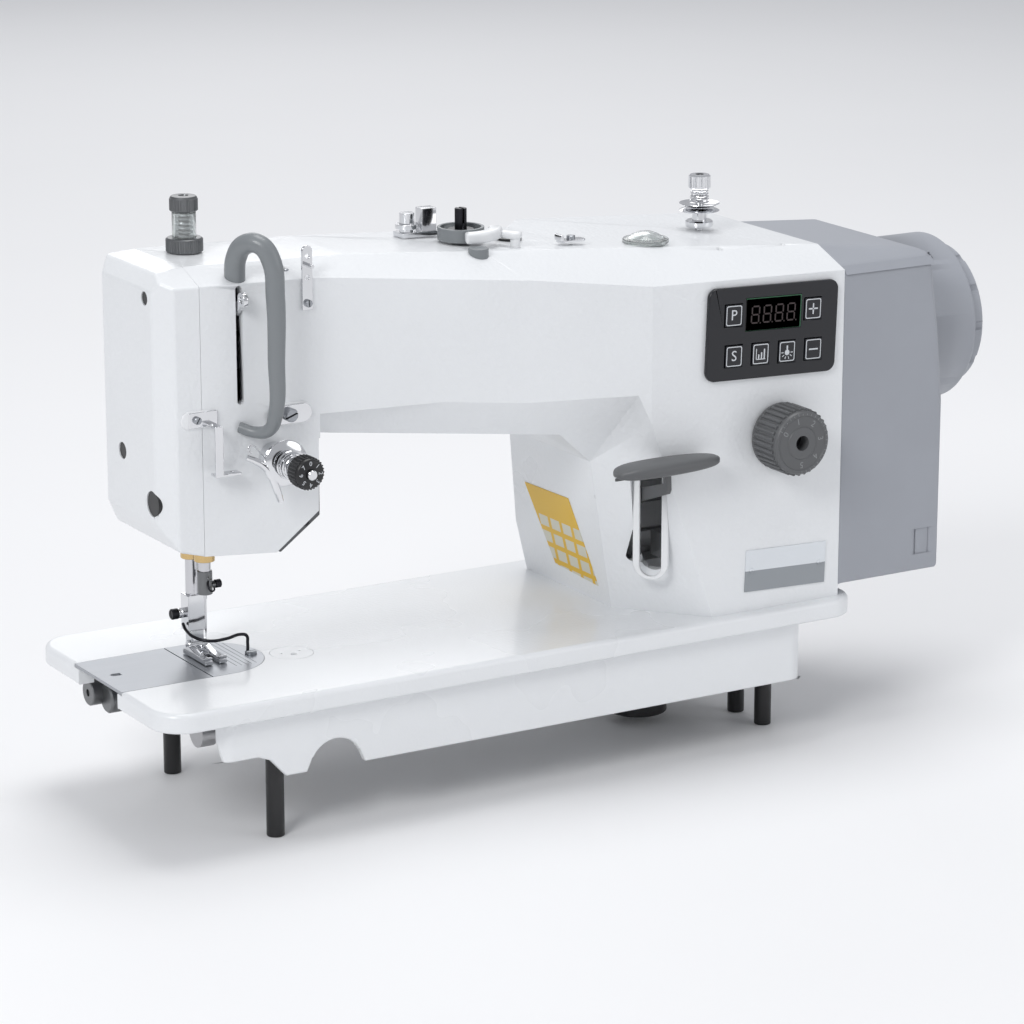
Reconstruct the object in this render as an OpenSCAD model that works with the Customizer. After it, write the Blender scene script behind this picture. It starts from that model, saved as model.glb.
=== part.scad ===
// Industrial direct-drive lockstitch sewing machine head on four posts.
// Every solid is drawn with X from the needle end of the bed, Y from its front edge and
// Z from its top face, and is then moved so that the origin is the middle of the footprint
// at the feet of the posts.

/* [Bed] */
// Length of the bed
bed_len = 476; // [440:1:560]
// Width of the bed, front to back
bed_wid = 178; // [150:1:210]
// Radius of the bed's corners
bed_corner = 20; // [8:1:30]
// Height of the bed's edge lip
lip_h = 11.7; // [9:0.1:16]
// Thickness of the bed plate
bed_t = 7; // [5:0.5:8]
// Inset of the skirt from the front and back edges
skirt_in = 8; // [5:0.5:14]
// Depth of the skirt below the bed's top face
skirt_depth = 50; // [46:1:60]
// Wall of the skirt
skirt_wall = 5; // [3:0.5:8]
// Length of each post below the bed's top face
post_len = 90; // [80:1:120]
// Radius of each post
post_r = 5.3; // [4:0.1:8]

/* [Needle and hook] */
// Needle axis from the needle end of the bed
needle_x = 70; // [66:1:76]
// Distance from the needle to the presser bar
presser_gap = 17; // [15:0.5:20]
// Radius of the needle bar
needle_bar_r = 3.6; // [3:0.1:4]
// Radius of the presser bar
presser_bar_r = 4; // [3.5:0.1:4.5]
// Stroke of the needle bar
needle_stroke = 30.7; // [26:0.1:31]
// Height of the needle point above the bed when the bar is up
needle_point = 13; // [12:0.5:16]
// Lift of the presser foot
foot_lift = 5.5; // [4:0.1:6]
// Width of the slide plate and the needle plate
plate_wid = 65; // [58:0.5:72]
// Thickness of the slide plate and the needle plate
plate_t = 2.2; // [1.6:0.1:3]
// Radius of the rotary hook
hook_r = 16.5; // [15:0.1:18]
// Depth of the hook shaft below the bed
hook_depth = 32; // [31:0.5:36]

/* [Arm] */
// Wall of the castings
wall = 6; // [4:0.5:9]
// Height of the arm's top at the needle end
head_h = 240; // [228:1:260]
// Height of the arm's top at the pillar end
arm_end_h = 216; // [212:1:226]
// Length of the pillar foot
pillar_len = 134; // [124:1:150]
// Depth of the head, front to back
head_depth = 83; // [76:1:96]
// Plane where the face plate meets the head
face_x = 49; // [46:0.5:54]
// Length of the face plate
face_len = 25; // [20:0.5:30]

/* [Drive] */
// Height of the main shaft above the bed
shaft_z = 149; // [146:1:156]
// Radius of the main shaft
shaft_r = 7.5; // [6:0.1:9]
// Radius of the upright shaft and of the hook shaft
side_shaft_r = 6.5; // [5:0.1:7.5]
// Radial clearance of every running fit
run_fit = 0.05; // [0.02:0.01:0.09]
// Clearance between pieces that move past each other
gap = 0.5; // [0.4:0.05:1]
// Length of the motor cover
motor_len = 77; // [70:1:90]
// Radius of the round motor housing
housing_r = 53; // [50:1:58]
// Length of the round motor housing
housing_len = 46; // [40:1:56]
// Radius of the handwheel
wheel_r = 46; // [40:1:49]
// Width of the handwheel
wheel_wid = 12; // [10:0.5:18]

/* [Controls] */
// Radius of the stitch dial
dial_r = 21; // [18:0.5:24]
// Depth of the stitch dial
dial_depth = 24; // [20:0.5:28]
// Length of the reverse lever's paddle
paddle_len = 76; // [70:1:84]
// Width of the control panel
panel_wid = 93.5; // [90:0.5:96]
// Height of the control panel
panel_h = 56.5; // [54:0.5:62]
// Travel of each panel key
key_travel = 0.5; // [0.3:0.1:0.8]

/* [Hidden] */

needle_y = bed_wid / 2;
presser_y = needle_y + presser_gap;
shaft_y = needle_y;
front_y = 8;
head_y = needle_y - 44;
head_back = head_y + head_depth;
pillar_x = bed_len - 12 - pillar_len;
throat_x = needle_x + 53;
brow_x = needle_x + 80;
pillar_end = bed_len - 12;
pillar_back = bed_wid - 20;
cover_p = [needle_x + 48.7, needle_y - 14];
motor_x0 = pillar_end + 0.3;
motor_x1 = motor_x0 + motor_len;
housing_x1 = motor_x1 + housing_len;
wheel_x0 = housing_x1 + 1;
wheel_x1 = wheel_x0 + wheel_wid;
dial_y0 = front_y - 2;
dial_y1 = dial_y0 - dial_depth;
origin = [wheel_x1 / 2, (bed_wid + dial_y1) / 2, -post_len];

upright_x = pillar_x + 75;
hook_z = -hook_depth;
crank_r = needle_stroke / 2;
crank_x0 = needle_x + 14;
crank_x1 = crank_x0 + 14.2;
stud_z = shaft_z - 29;
bar_tip = needle_point + 33;
slide_len = 58;
plate_y0 = needle_y - plate_wid / 2;
plate_y1 = needle_y + plate_wid / 2;
dial_x = pillar_x + 87;
dial_z = 108.5;
panel_x = pillar_x + 80;
panel_z = 174;
panel_t = 3;
panel_tilt = 2;
key_w = 12;
key_h = 13;
lever_x = pillar_x + 5;
lever_pivot = [lever_x, 62, 66];
tension_x = needle_x + 23.4;
tension_z = 128.6;
take_up_x = needle_x + 3.5;
eye_x = needle_x + 46.2;
take_up_pivot = [take_up_x, head_y + 31, 194];
winder_p = [pillar_x - 89, needle_y - 3];
winder_pivot = [winder_p.x + 25, winder_p.y - 21];
winder_knob = [winder_p.x - 6, winder_p.y - 31];
top_plug = [pillar_x - 54, needle_y + 1];
knife = [pillar_x - 25, needle_y - 23];
reg_p = [needle_x, presser_y];
post_p = [pillar_x + 87, needle_y + 8];
window_p = [pillar_x + 24, needle_y - 29];
far = 600;

white = [0.93, 0.94, 0.94];
grey_paint = [0.62, 0.64, 0.68];
dark_grey = [0.36, 0.37, 0.39];
black = [0.06, 0.06, 0.07];
steel = [0.66, 0.67, 0.69];
chrome = [0.82, 0.82, 0.84];
brass = [0.78, 0.62, 0.32];
bronze = [0.62, 0.44, 0.25];

// Height of the arm's top ridge at a place along the bed
function top_z(x) = x < brow_x ? head_h - 3 * (x - face_x) / (brow_x - face_x)
    : head_h - 3 + (arm_end_h - head_h + 3) * (x - brow_x) / (pillar_end - brow_x);

module in_frame() translate(-origin) children();
module rod_x(p, l, r) translate(p) rotate([0, 90, 0]) cylinder(h = l, r = r, $fn = 64);
module rod_y(p, l, r) translate(p) rotate([-90, 0, 0]) cylinder(h = l, r = r, $fn = 64);
module rod_z(p, l, r) translate(p) cylinder(h = l, r = r, $fn = 64);
module block(p, s) translate(p) cube(s);

// A cube that lies on the outer side of the plane through p with outward normal n
module beyond(p, n) translate(p) rotate([0, acos(n.z / norm(n)), atan2(n.y, n.x)])
    translate([-far, -far, 0]) cube([2 * far, 2 * far, far]);

// A slab with round upright corners, its lowest corner at p
module round_slab(p, s, r) translate(p) union() {
    translate([r, 0, 0]) cube([s.x - 2 * r, s.y, s.z]);
    translate([0, r, 0]) cube([s.x, s.y - 2 * r, s.z]);
    for (x = [r, s.x - r], y = [r, s.y - r])
        translate([x, y, 0]) cylinder(h = s.z, r = r, $fn = 64);
}

// An upright face in X and Z, pushed along Y from y0 to y1
module face_xz(y0, y1) translate([0, y1, 0]) rotate([90, 0, 0]) linear_extrude(y1 - y0) children();

// A screw with a slotted cheese head, its head pointing along +Z
module screw(r, l) difference() {
    union() {
        cylinder(h = r * 0.9, r = r, $fn = 48);
        translate([0, 0, -l]) cylinder(h = l + 0.1, r = r * 0.55, $fn = 48);
    }
    translate([-r, -r * 0.12, r * 0.5]) cube([2 * r, r * 0.24, r]);
}

// ---- Castings ----

skirt_x0 = 35;
skirt_x1 = bed_len - 35;
foot_x = 86;
notch_x0 = 93;
notch_x1 = 132;
shaft_blocks = [needle_x + 42, pillar_x - 30];
pillar_hole = [pillar_x + 30, needle_y - 49, 88, 96];
feed_y = needle_y - 37;
feed_z = -30;

module bed_casting() in_frame() color(white) difference() {
    union() {
        round_slab([0, 0, -lip_h], [bed_len, bed_wid, lip_h], bed_corner);
        round_slab([skirt_x0, skirt_in, -skirt_depth],
            [skirt_x1 - skirt_x0, bed_wid - 2 * skirt_in, skirt_depth - 1], 12);
    }
    // Hollow of the lip and of the skirt
    difference() {
        round_slab([10, 10, -lip_h - 1], [bed_len - 20, bed_wid - 20, lip_h + 1 - bed_t], 12);
        block([skirt_x0, skirt_in, -far], [skirt_x1 - skirt_x0, skirt_wall, far]);
        block([skirt_x0, bed_wid - skirt_in - skirt_wall, -far],
            [skirt_x1 - skirt_x0, skirt_wall, far]);
        block([skirt_x1 - skirt_wall, skirt_in, -far], [skirt_wall, bed_wid - 2 * skirt_in, far]);
        bed_bosses(0.1);
    }
    difference() {
        block([skirt_x0 - 1, skirt_in + skirt_wall, -skirt_depth - 1],
            [skirt_x1 - skirt_x0 - skirt_wall + 1, bed_wid - 2 * skirt_in - 2 * skirt_wall,
                skirt_depth + 1 - bed_t]);
        bed_bosses(0.1);
    }
    // Step up of the skirt at the needle end, with its foot and the round notch behind it
    face_xz(-1, bed_wid + 1) polygon([[skirt_x0 - 1, -lip_h], [skirt_x0, -14], [41, -skirt_depth + 14],
        [62, -skirt_depth + 14], [70, -skirt_depth + 11], [foot_x - 6, -skirt_depth],
        [foot_x - 6, -far], [skirt_x0 - 1, -far]]);
    face_xz(-1, bed_wid + 1) union() {
        translate([(notch_x0 + notch_x1) / 2, -skirt_depth])
            circle(r = (notch_x1 - notch_x0) / 2 - 2.5, $fn = 64);
        polygon([[notch_x0, -skirt_depth - 1], [notch_x0 + 4, -skirt_depth + 8],
            [notch_x1 - 4, -skirt_depth + 8], [notch_x1, -skirt_depth - 1]]);
    }
    // Open throat under the slide plate and the needle plate
    block([-1, plate_y0 + 6, -lip_h - 1], [slide_len + 1, plate_wid - 12, lip_h + 2]);
    rod_z([needle_x + 1.5, needle_y, -lip_h - 1], lip_h + 2, plate_wid / 2 - 8);
    block([slide_len - 1, plate_y0 + 8, -lip_h - 1], [14, plate_wid - 16, lip_h + 2]);
    // Seat of both plates
    block([-1, plate_y0, -plate_t], [needle_x + 2.5, plate_wid, plate_t + 1]);
    rod_z([needle_x + 1.5, needle_y, -plate_t], plate_t + 1, plate_wid / 2);
    // Round access hole beside the needle plate
    rod_z([cover_p.x, cover_p.y, -2], 3, 13);
    rod_z([cover_p.x, cover_p.y, -bed_t - 1], bed_t + 2, 10);
    // Way for the upright shaft, and its well
    block([pillar_hole.x, pillar_hole.y, -lip_h - 1], [pillar_hole[2], pillar_hole[3], lip_h + 2]);
    // Bores of the posts and of the hook shaft's bushings
    for (p = post_places) rod_z([p.x, p.y, -far], far - bed_t, post_r);
    for (x = shaft_blocks) rod_x([x - 15, needle_y, hook_z], 30, side_shaft_r + 4);
    rod_x([needle_x - 22, feed_y, feed_z], 60, 5 + run_fit);
    // Sockets for the hinge pins of the table, and screw holes of the needle plate
    for (x = hinge_x) rod_y([x, bed_wid - 30, -lip_h / 2], 31, 3.5);
    rod_z([needle_x + 27, needle_y - 4, -bed_t - 1], bed_t + 2, 1.9);
}

post_places = [[needle_x + 9.4, 22.5], [needle_x + 7, bed_wid - 24.7],
    [pillar_x + 107, 48], [pillar_x + 107, 78]];
hinge_x = [120, bed_len - 96];

module bed_bosses(e) {
    for (p = post_places) rod_z([p.x, p.y, -24], 24, post_r + 5);
    for (x = shaft_blocks) block([x - 9, needle_y - 13, hook_z - 12], [18, 26, hook_depth + 12 - 1]);
    for (x = [needle_x - 12, needle_x + 16]) block([x - 4, feed_y - 9, feed_z - 8], [8, 18, -feed_z + 7]);
    for (x = hinge_x) block([x - 9, bed_wid - 34, -lip_h], [18, 34, lip_h - 1]);
    block([upright_x - 10, bed_wid - 38, -skirt_depth], [20, 10, skirt_depth - 1]);
}

// Front view of the arm and pillar, drawn in by a wall of w
module arm_front(w) polygon([
    [face_x - (w > 0 ? 1 : 0), 76 + w], [needle_x + 25 - w * 0.4, 72 + w],
    [throat_x - 0.5 - w, 93 + w * 0.2], [throat_x - w, 136 + w], [throat_x + 49, 131 + w],
    [pillar_x - 108, 126 + w], [pillar_x - 51 + w * 0.4, 120 + w],
    [pillar_x - 24 + w, 98 + w * 0.4], [pillar_x + w, w > 0 ? -1 : 0],
    [pillar_end - w, w > 0 ? -1 : 0], [pillar_end - w, arm_end_h - w],
    [brow_x, head_h - 3 - w], [face_x - (w > 0 ? 1 : 0), head_h - w]]);

// Top view of the arm, drawn in by a wall of w
module arm_plan(w) polygon([
    [face_x - 2, head_y + w], [throat_x + 1, head_y + w], [brow_x - 7, head_y - 3 + w],
    [pillar_x - 80, head_y - 20 + w],
    [pillar_x - 4 + w * 0.3, front_y + w], [pillar_end + 1, front_y + w],
    [pillar_end + 1, pillar_back - w], [pillar_x - 8 + w, pillar_back - w],
    [pillar_x - 30, head_back + 4 - w], [face_x - 2, head_back - w]]);

// The space in front of the arm's lower front bevel
module under_bevel(w) beyond([pillar_x - 80, head_y - 20, 145] - w * [-0.19, -0.8, -0.56],
    [-1396, -6036, -4187]);

// Bevels of the arm: soft top edge in front, lower edge in front, and the pillar's corner
module arm_bevels(w) {
    ridge = [0, -14, 28] / norm([0, -14, 28]) * w;
    beyond([pillar_end, front_y, arm_end_h - 11] - ridge,
        cross([brow_x - 7 - pillar_end, head_y - 3 - front_y, head_h - arm_end_h - 1], [0, -34, -13]));
    intersection() {
        under_bevel(w);
        block([throat_x + 1, 0, 0], [pillar_x - 31 - throat_x, far, 150]);
    }
    intersection() {
        under_bevel(w);
        beyond([pillar_x + 41, front_y, 0] - w * [-0.74, -0.61, -0.27], [-5040, -4149, -1800]);
        block([pillar_x - 30, -1, -1], [110, far, 151]);
    }
}

module arm_casting() in_frame() color(white) difference() {
    union() {
        difference() {
            intersection() {
                face_xz(0, bed_wid) arm_front(0);
                translate([0, 0, -1]) linear_extrude(far) arm_plan(0);
            }
            arm_bevels(0);
            difference() {
                intersection() {
                    face_xz(0, bed_wid) arm_front(wall);
                    translate([0, 0, -1]) linear_extrude(far) arm_plan(wall);
                }
                arm_bevels(wall);
                arm_webs();
            }
        }
        arm_bosses();
    }
    arm_bores();
}

bulkhead = needle_x + 30;
mid_bush_x = pillar_x - 44;
main_bush_x = [bulkhead, mid_bush_x, pillar_end - 24];
upright_bush_z = [22, 96];

// Webs inside the arm that carry the bushings
module arm_webs() {
    block([bulkhead, 0, 60], [12, bed_wid, far]);
    block([mid_bush_x, 0, 60], [12, bed_wid, far]);
    block([pillar_end - 24, shaft_y - shaft_r - 14.5, shaft_z - shaft_r - 14.5],
        [30, 2 * shaft_r + 29, 2 * shaft_r + 29]);
    block([needle_x - 8, needle_y - 6, 176], [15, bed_wid, 14]);
    for (z = upright_bush_z) block([upright_x - 16, shaft_y - 16, z - 8], [far, 32, 16]);
    block([lever_x + 41, 0, lever_pivot.z - 7], [12, lever_pivot.y + 8, 14]);
    block([needle_x - 12, needle_y - 9, 60], [24, 40, 22]);
    block([needle_x - 10, presser_y - 8, head_h - 20], [20, 17, 30]);
    block([winder_p.x - 10, winder_p.y - 10, 205], [20, 20, 60]);
    block([tension_x - 8, head_y, tension_z - 8], [16, 14, 16]);
    block([post_p.x - 8, post_p.y - 8, arm_end_h - 20], [16, 16, 16]);
}

// Raised seats on the outside of the arm
module arm_bosses() {
    rod_z([winder_p.x, winder_p.y, 210], top_z(winder_p.x) - 210 + 2, 16);
    rod_z([post_p.x, post_p.y, 200], top_z(post_p.x) - 200 + 2.5, 9);
    rod_z([window_p.x, window_p.y, 205], top_z(window_p.x) - 204, 16);
    rod_z([knife.x, knife.y, 205], top_z(knife.x) - 205 + 2, 6);
    rod_z([reg_p.x, reg_p.y, 225], head_h - 225 - 1, 12);
}

module arm_bores() {
    for (x = main_bush_x) rod_x([x - 1, shaft_y, shaft_z], 60, shaft_r + 4);
    rod_x([pillar_end - 40, shaft_y, shaft_z], 60, shaft_r + 4);
    for (z = upright_bush_z) rod_z([upright_x, shaft_y, z - 9], 18, side_shaft_r + 4);
    rod_z([needle_x, needle_y, 59], 24, needle_bar_r + 2.5);
    rod_z([needle_x, needle_y, 170], 22, needle_bar_r + 2.5);
    rod_z([needle_x, presser_y, 59], 24, presser_bar_r + 2.5);
    rod_z([needle_x, presser_y, 170], 22, presser_bar_r + run_fit);
    rod_z([reg_p.x, reg_p.y, head_h - 22], 30, 5.5);
    // Slot of the take-up lever
    block([take_up_x - 2.2, head_y - 2, 164], [4.4, wall + 4, 64]);
    rod_y([take_up_x, head_y - 2, 228], wall + 4, 2.2);
    rod_y([take_up_x, head_y - 2, 164], wall + 4, 2.2);
    rod_x([bulkhead - 1, take_up_pivot.y, take_up_pivot.z], 14, 3);
    rod_y([tension_x, head_y - 1, tension_z], 16, 4.5);
    rod_z([winder_p.x, winder_p.y, 200], 60, 5.2);
    rod_z([winder_pivot.x, winder_pivot.y, 200], 60, 3 + run_fit);
    rod_z([post_p.x, post_p.y, 192], 40, 2.5);
    rod_z([window_p.x, window_p.y, 200], 40, 12);
    // Holes of the stitch dial's screw and of the lifter's pin
    rod_y([dial_x, front_y - 1, dial_z], wall + 4, 8);
    rod_x([lever_x + 36, lever_pivot.y, lever_pivot.z], 22, 4 + run_fit);
    rod_y([lifter_p.x, head_back - wall - 1, lifter_p.y], wall + 3, 5);
    // Pocket of the lever's slot plate, and the window behind it
    on_slot() capsule(-30, 30.1, 26, 11.2);
    on_slot() capsule(-1, 40, 24, 9);
    translate([lever_x, slot_c.y, slot_c.z]) capsule(0, 30, 24, 5);
    // Opening at the back, closed by the rear cover
    block([pillar_x + 22, pillar_back - wall - 1, 14], [94, wall + 2, 150]);
    for (p = key_places) rod_y([p.x, front_y - 1, p.y], wall + 2, 3);
    // Seats of the black plug and of the winder's knob
    rod_z([top_plug.x, top_plug.y, top_z(top_plug.x) - 0.52], 9, 8);
    rod_z([winder_knob.x, winder_knob.y, top_z(winder_knob.x) - 6.02], 20, 6);
    screw_holes();
}

// ---- Covers ----

lifter_p = [needle_x + 22, 118];
slot_c = [pillar_x + 7.5, 24.8, 62];
slot_turn = -48;

module face_plate() in_frame() color(white) {
    x0 = face_x - face_len;
    x1 = face_x - 0.2;
    difference() {
        intersection() {
            face_xz(0, bed_wid) polygon([[x1, 76], [x1, head_h], [x0 + 6, head_h - 1], [x0, head_h - 10],
                [x0, 96], [x0 + 10, 80]]);
            translate([0, 0, 50]) linear_extrude(far) polygon([[x1, head_y], [x0 + 9, head_y],
                [x0, head_y + 11], [x0, head_back - 8], [x0 + 8, head_back], [x1, head_back]]);
        }
        arm_bevels(0);
        difference() {
            intersection() {
                face_xz(0, bed_wid) polygon([[x1 + 1, 76 + wall], [x1 + 1, head_h - wall],
                    [x0 + 8, head_h - wall], [x0 + 4, head_h - 16], [x0 + 4, 100], [x0 + 12, 76 + wall]]);
                translate([0, 0, 50]) linear_extrude(far) polygon([[x1 + 1, head_y + 5],
                    [x0 + 12, head_y + 5], [x0 + 4, head_y + 14], [x0 + 4, head_back - 11],
                    [x0 + 11, head_back - 5], [x1 + 1, head_back - 5]]);
            }
            arm_bevels(5);
        }
        for (p = plug_places) rod_x([x0 - 1, p.x, p.y], 7, p.z);
        screw_holes();
    }
}

// Each plug hole of the face plate: Y, Z and radius
plug_places = [[head_y + 19, 225, 4], [head_y + 53, 130, 5], [head_y + 15, 107, 7.5]];

module plugs() in_frame() color(black) {
    for (p = plug_places) {
        rod_x([face_x - face_len + 0.6, p.x, p.y], 5, p.z - 0.02);
    }
    difference() {
        rod_z([top_plug.x, top_plug.y, top_z(top_plug.x) - 0.5], 2.3, 8);
        rod_z([top_plug.x, top_plug.y, top_z(top_plug.x) + 1], 2, 3);
    }
}

module rear_cover() in_frame() color(white) difference() {
    union() {
        round_face(pillar_x + 12, pillar_back + 0.2, 6, [pillar_end - pillar_x - 24, 3, 170], 8);
        block([pillar_x + 24, pillar_back - wall + 0.5, 16], [90, wall, 146]);
    }
    screw_holes();
}

// An upright plate facing back or front, with round corners
module round_face(x, y, z, s, r) translate([x, y + s.y, z]) rotate([90, 0, 0])
    round_slab([0, 0, 0], [s.x, s.z, s.y], r);

module motor_body(w) {
    difference() {
        intersection() {
            block([motor_x0 + (w > 0 ? -1 : 0), front_y - 0.3 + w, 6.6 + w],
                [motor_len + (w > 0 ? 1 - w : 0), pillar_back + 8 - front_y - 2 * w, far]);
            face_xz(0, bed_wid) polygon([[motor_x0 - 2, 0], [motor_x1 - w, 0], [motor_x1 - w, 120],
                [motor_x1 - 4 - w, 160], [motor_x1 - 11 - w, arm_end_h - 6 - w],
                [motor_x0 - 2, arm_end_h - w]]);
        }
        beyond([pillar_end, front_y, arm_end_h - 11] - [0, -0.42, 0.9] * w, [0, -13, 34]);
        beyond([pillar_end, front_y, arm_end_h - 13] - [0, -0.8, 0.6] * w, [0, -8, 6]);
        beyond([pillar_end, pillar_back + 8, arm_end_h - 40] - [0, 0.7, 0.7] * w, [0, 40, 40]);
    }
}

module motor_cover() in_frame() color(grey_paint) difference() {
    union() {
        motor_body(0);
        rod_x([motor_x0 + 30, shaft_y, shaft_z], housing_x1 - motor_x0 - 30, housing_r);
    }
    difference() {
        motor_body(3);
        rod_x([motor_x0 + 30, shaft_y, shaft_z], far, housing_r);
    }
    rod_x([motor_x0 - 1, shaft_y, shaft_z], housing_x1 - motor_x0 - 3, housing_r - 4);
    rod_x([housing_x1 - 5, shaft_y, shaft_z], 10, shaft_r + 1.5);
    // Small grip recess in the front
    block([motor_x1 - 18, front_y - 1, 18], [9, 1.6, 16]);
    // Air slots underneath
    for (i = [0 : 6]) block([motor_x0 + 12 + i * 8, 40, 5], [3, 80, 6]);
}

module motor_stator() in_frame() color(steel) difference() {
    union() {
        rod_x([motor_x0 + 18, shaft_y, shaft_z], 44, housing_r - 4.2);
        for (a = [0 : 60 : 300]) translate([0, shaft_y, shaft_z]) rotate([a, 0, 0])
            block([motor_x0 + 12, -4, 37], [56, 8, 6]);
    }
    rod_x([motor_x0 + 10, shaft_y, shaft_z], 62, 33.6);
    for (a = [30 : 60 : 330]) translate([0, shaft_y, shaft_z]) rotate([a, 0, 0])
        block([motor_x0 + 10, -7, 30], [62, 14, 12]);
}

// ---- Bed pieces ----

module needle_plate() in_frame() color(steel) difference() {
    intersection() {
        union() {
            rod_z([needle_x + 1.5, needle_y, -plate_t], plate_t, plate_wid / 2 - 0.1);
            block([slide_len + 0.3, plate_y0 + 0.1, -plate_t],
                [needle_x + 1.5 - slide_len - 0.3, plate_wid - 0.2, plate_t]);
        }
        block([slide_len + 0.3, 0, -10], [100, bed_wid, 20]);
    }
    rod_z([needle_x, needle_y, -5], 10, 1.1);
    for (x = [-5.5, 3.1]) block([needle_x + x, needle_y - 12, -5], [2.4, 26, 10]);
    rod_z([needle_x + 27, needle_y - 4, -5], 10, 2);
    rod_z([needle_x + 27, needle_y - 4, -0.9], 2, 3.6);
    for (i = [1 : 5]) block([needle_x + 6 + i * 3.2, plate_y0 + 12, -0.2], [0.3, plate_wid, 1]);
}

module slide_plate() in_frame() color(steel) difference() {
    block([0.3, plate_y0 + 0.3, -plate_t + 0.3], [slide_len - 0.6, plate_wid - 0.6, plate_t - 0.3]);
    rod_z([10.7, needle_y, -5], 10, 2.2);
    block([10.7, needle_y - 2.2, -5], [4, 4.4, 10]);
}

module bed_cover() in_frame() color(white) difference() {
    rod_z([cover_p.x, cover_p.y, -1.9], 1.9, 12.9);
    rod_z([cover_p.x, cover_p.y - 3, -5], 10, 1.8);
    for (x = [-6, 6]) rod_z([cover_p.x + x, cover_p.y + 1.5, -5], 10, 0.8);
}

module bed_posts() in_frame() color(black)
    for (p = post_places) rod_z([p.x, p.y, -post_len], post_len - bed_t, post_r);

module tube_x(x, y, z, l, r, bore) difference() {
    rod_x([x, y, z], l, r);
    rod_x([x - 1, y, z], l + 2, bore);
}

module tube_z(x, y, z, l, r, bore) difference() {
    rod_z([x, y, z], l, r);
    rod_z([x, y, z - 1], l + 2, bore);
}

module shaft_bushings() in_frame() color(bronze) {
    tube_x(main_bush_x[0] + 0.5, shaft_y, shaft_z, 13, shaft_r + 4, shaft_r + run_fit);
    tube_x(mid_bush_x, shaft_y, shaft_z, 12, shaft_r + 4, shaft_r + run_fit);
    tube_x(pillar_end - 24, shaft_y, shaft_z, 24, shaft_r + 4, shaft_r + run_fit);
    for (z = upright_bush_z)
        tube_z(upright_x, shaft_y, z - 8, 16, side_shaft_r + 4, side_shaft_r + run_fit);
    for (x = shaft_blocks)
        tube_x(x - 9, needle_y, hook_z, 18, side_shaft_r + 4, side_shaft_r + run_fit);
}

module bar_bushings() in_frame() color(brass) {
    tube_z(needle_x, needle_y, 60, 22, needle_bar_r + 2.5, needle_bar_r + run_fit);
    tube_z(needle_x, needle_y, 175, 16, needle_bar_r + 2.5, needle_bar_r + run_fit);
    tube_z(needle_x, presser_y, 58, 24, presser_bar_r + 2.5, presser_bar_r + run_fit);
}

module oil_pump() in_frame() color(black) difference() {
    union() {
        rod_z([upright_x - 30, needle_y + 9, -84], 16, 19);
        rod_z([upright_x - 30, needle_y + 9, -70], 18, 11);
        block([upright_x - 8, needle_y + 3, -80], [14, 12, 15]);
        block([upright_x - 32, needle_y - 5, -66], [44, 24, 8]);
        block([upright_x - 10, needle_y + 7, -66],
            [20, bed_wid - 35 - needle_y, 66 - skirt_depth - 0.1]);
        rod_z([upright_x, needle_y, -66], 16, 12);
    }
    rod_z([upright_x - 30, needle_y + 9, -85], 10, 15);
    rod_z([upright_x, needle_y, -60], 20, side_shaft_r + run_fit);
}

// ---- Control panel, display, keys, plates ----

// Centre of each panel key: X and Z
key_places = [[panel_x - 28.6, panel_z + 12.4], [panel_x - 28.2, panel_z - 12.5],
    [panel_x + 28.8, panel_z + 10.5], [panel_x + 29.4, panel_z - 14.5],
    [panel_x - 9, panel_z - 13.1], [panel_x + 10.2, panel_z - 13.8]];

module on_panel() translate([panel_x, 0, panel_z]) rotate([0, panel_tilt, 0]) children();

module control_panel() in_frame() color(black) difference() {
    on_panel() round_face(-panel_wid / 2, front_y - panel_t, -panel_h / 2,
        [panel_wid, panel_t, panel_h], 6);
    for (p = key_places) translate([p.x, 0, p.y]) rotate([0, panel_tilt, 0]) {
        block([-key_w / 2 - 0.3, 0, -key_h / 2 - 0.3], [key_w + 0.6, 20, key_h + 0.6]);
    }
    on_panel() block([-20, 0, 1], [40, front_y - panel_t + 1, 20]);
}

module display_board() in_frame() color([0.1, 0.16, 0.12]) {
    on_panel() block([-19.9, front_y - panel_t + 0.1, 1.1], [39.8, 0.8, 19.8]);
    on_panel() block([-46, front_y + wall + 3, -24], [92, 1.6, 46]);
    on_panel() for (x = [-14 : 9.4 : 15]) block([x - 3.5, front_y + wall + 4.6, 5], [7, 4, 11]);
}

module key(i) in_frame() color(black) translate([key_places[i].x, 0, key_places[i].y])
    rotate([0, panel_tilt, 0]) union() {
        block([-key_w / 2, front_y - panel_t - 0.4, -key_h / 2], [key_w, panel_t - 0.6, key_h]);
        rod_y([0, front_y - 1.5, 0], wall + 2.5, 2.4);
    }

module key_p() key(0);
module key_s() key(1);
module key_plus() key(2);
module key_minus() key(3);
module key_bars() key(4);
module key_lamp() key(5);

// An upright slab with round ends, half_h from its middle to the centre of each round end
module capsule(y, t, half_h, r) {
    block([-r, y, -half_h], [2 * r, t, 2 * half_h]);
    for (z = [-half_h, half_h]) rod_y([0, y, z], t, r);
}

module on_slot() translate(slot_c) rotate([0, 0, slot_turn]) children();

module lever_slot_plate() in_frame() color(white) on_slot() difference() {
    capsule(-3, 3, 26, 11);
    capsule(-4, 5, 27.8, 6.7);
}

module name_plate() in_frame() color(grey_paint) translate([pillar_end - 40, front_y - 0.8, 24.5])
    rotate([0, 2, 0]) difference() {
        union() {
            block([-29.5, 0, -13], [59, 0.8, 26]);
            for (x = [-25, 25]) rod_y([x, -0.6, 0], 1.2, 1.6);
        }
        for (x = [-25, 25]) rod_y([x, -0.7, 0], 0.4, 0.6);
    }

// ---- Reverse lever and stitch dial ----

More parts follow.
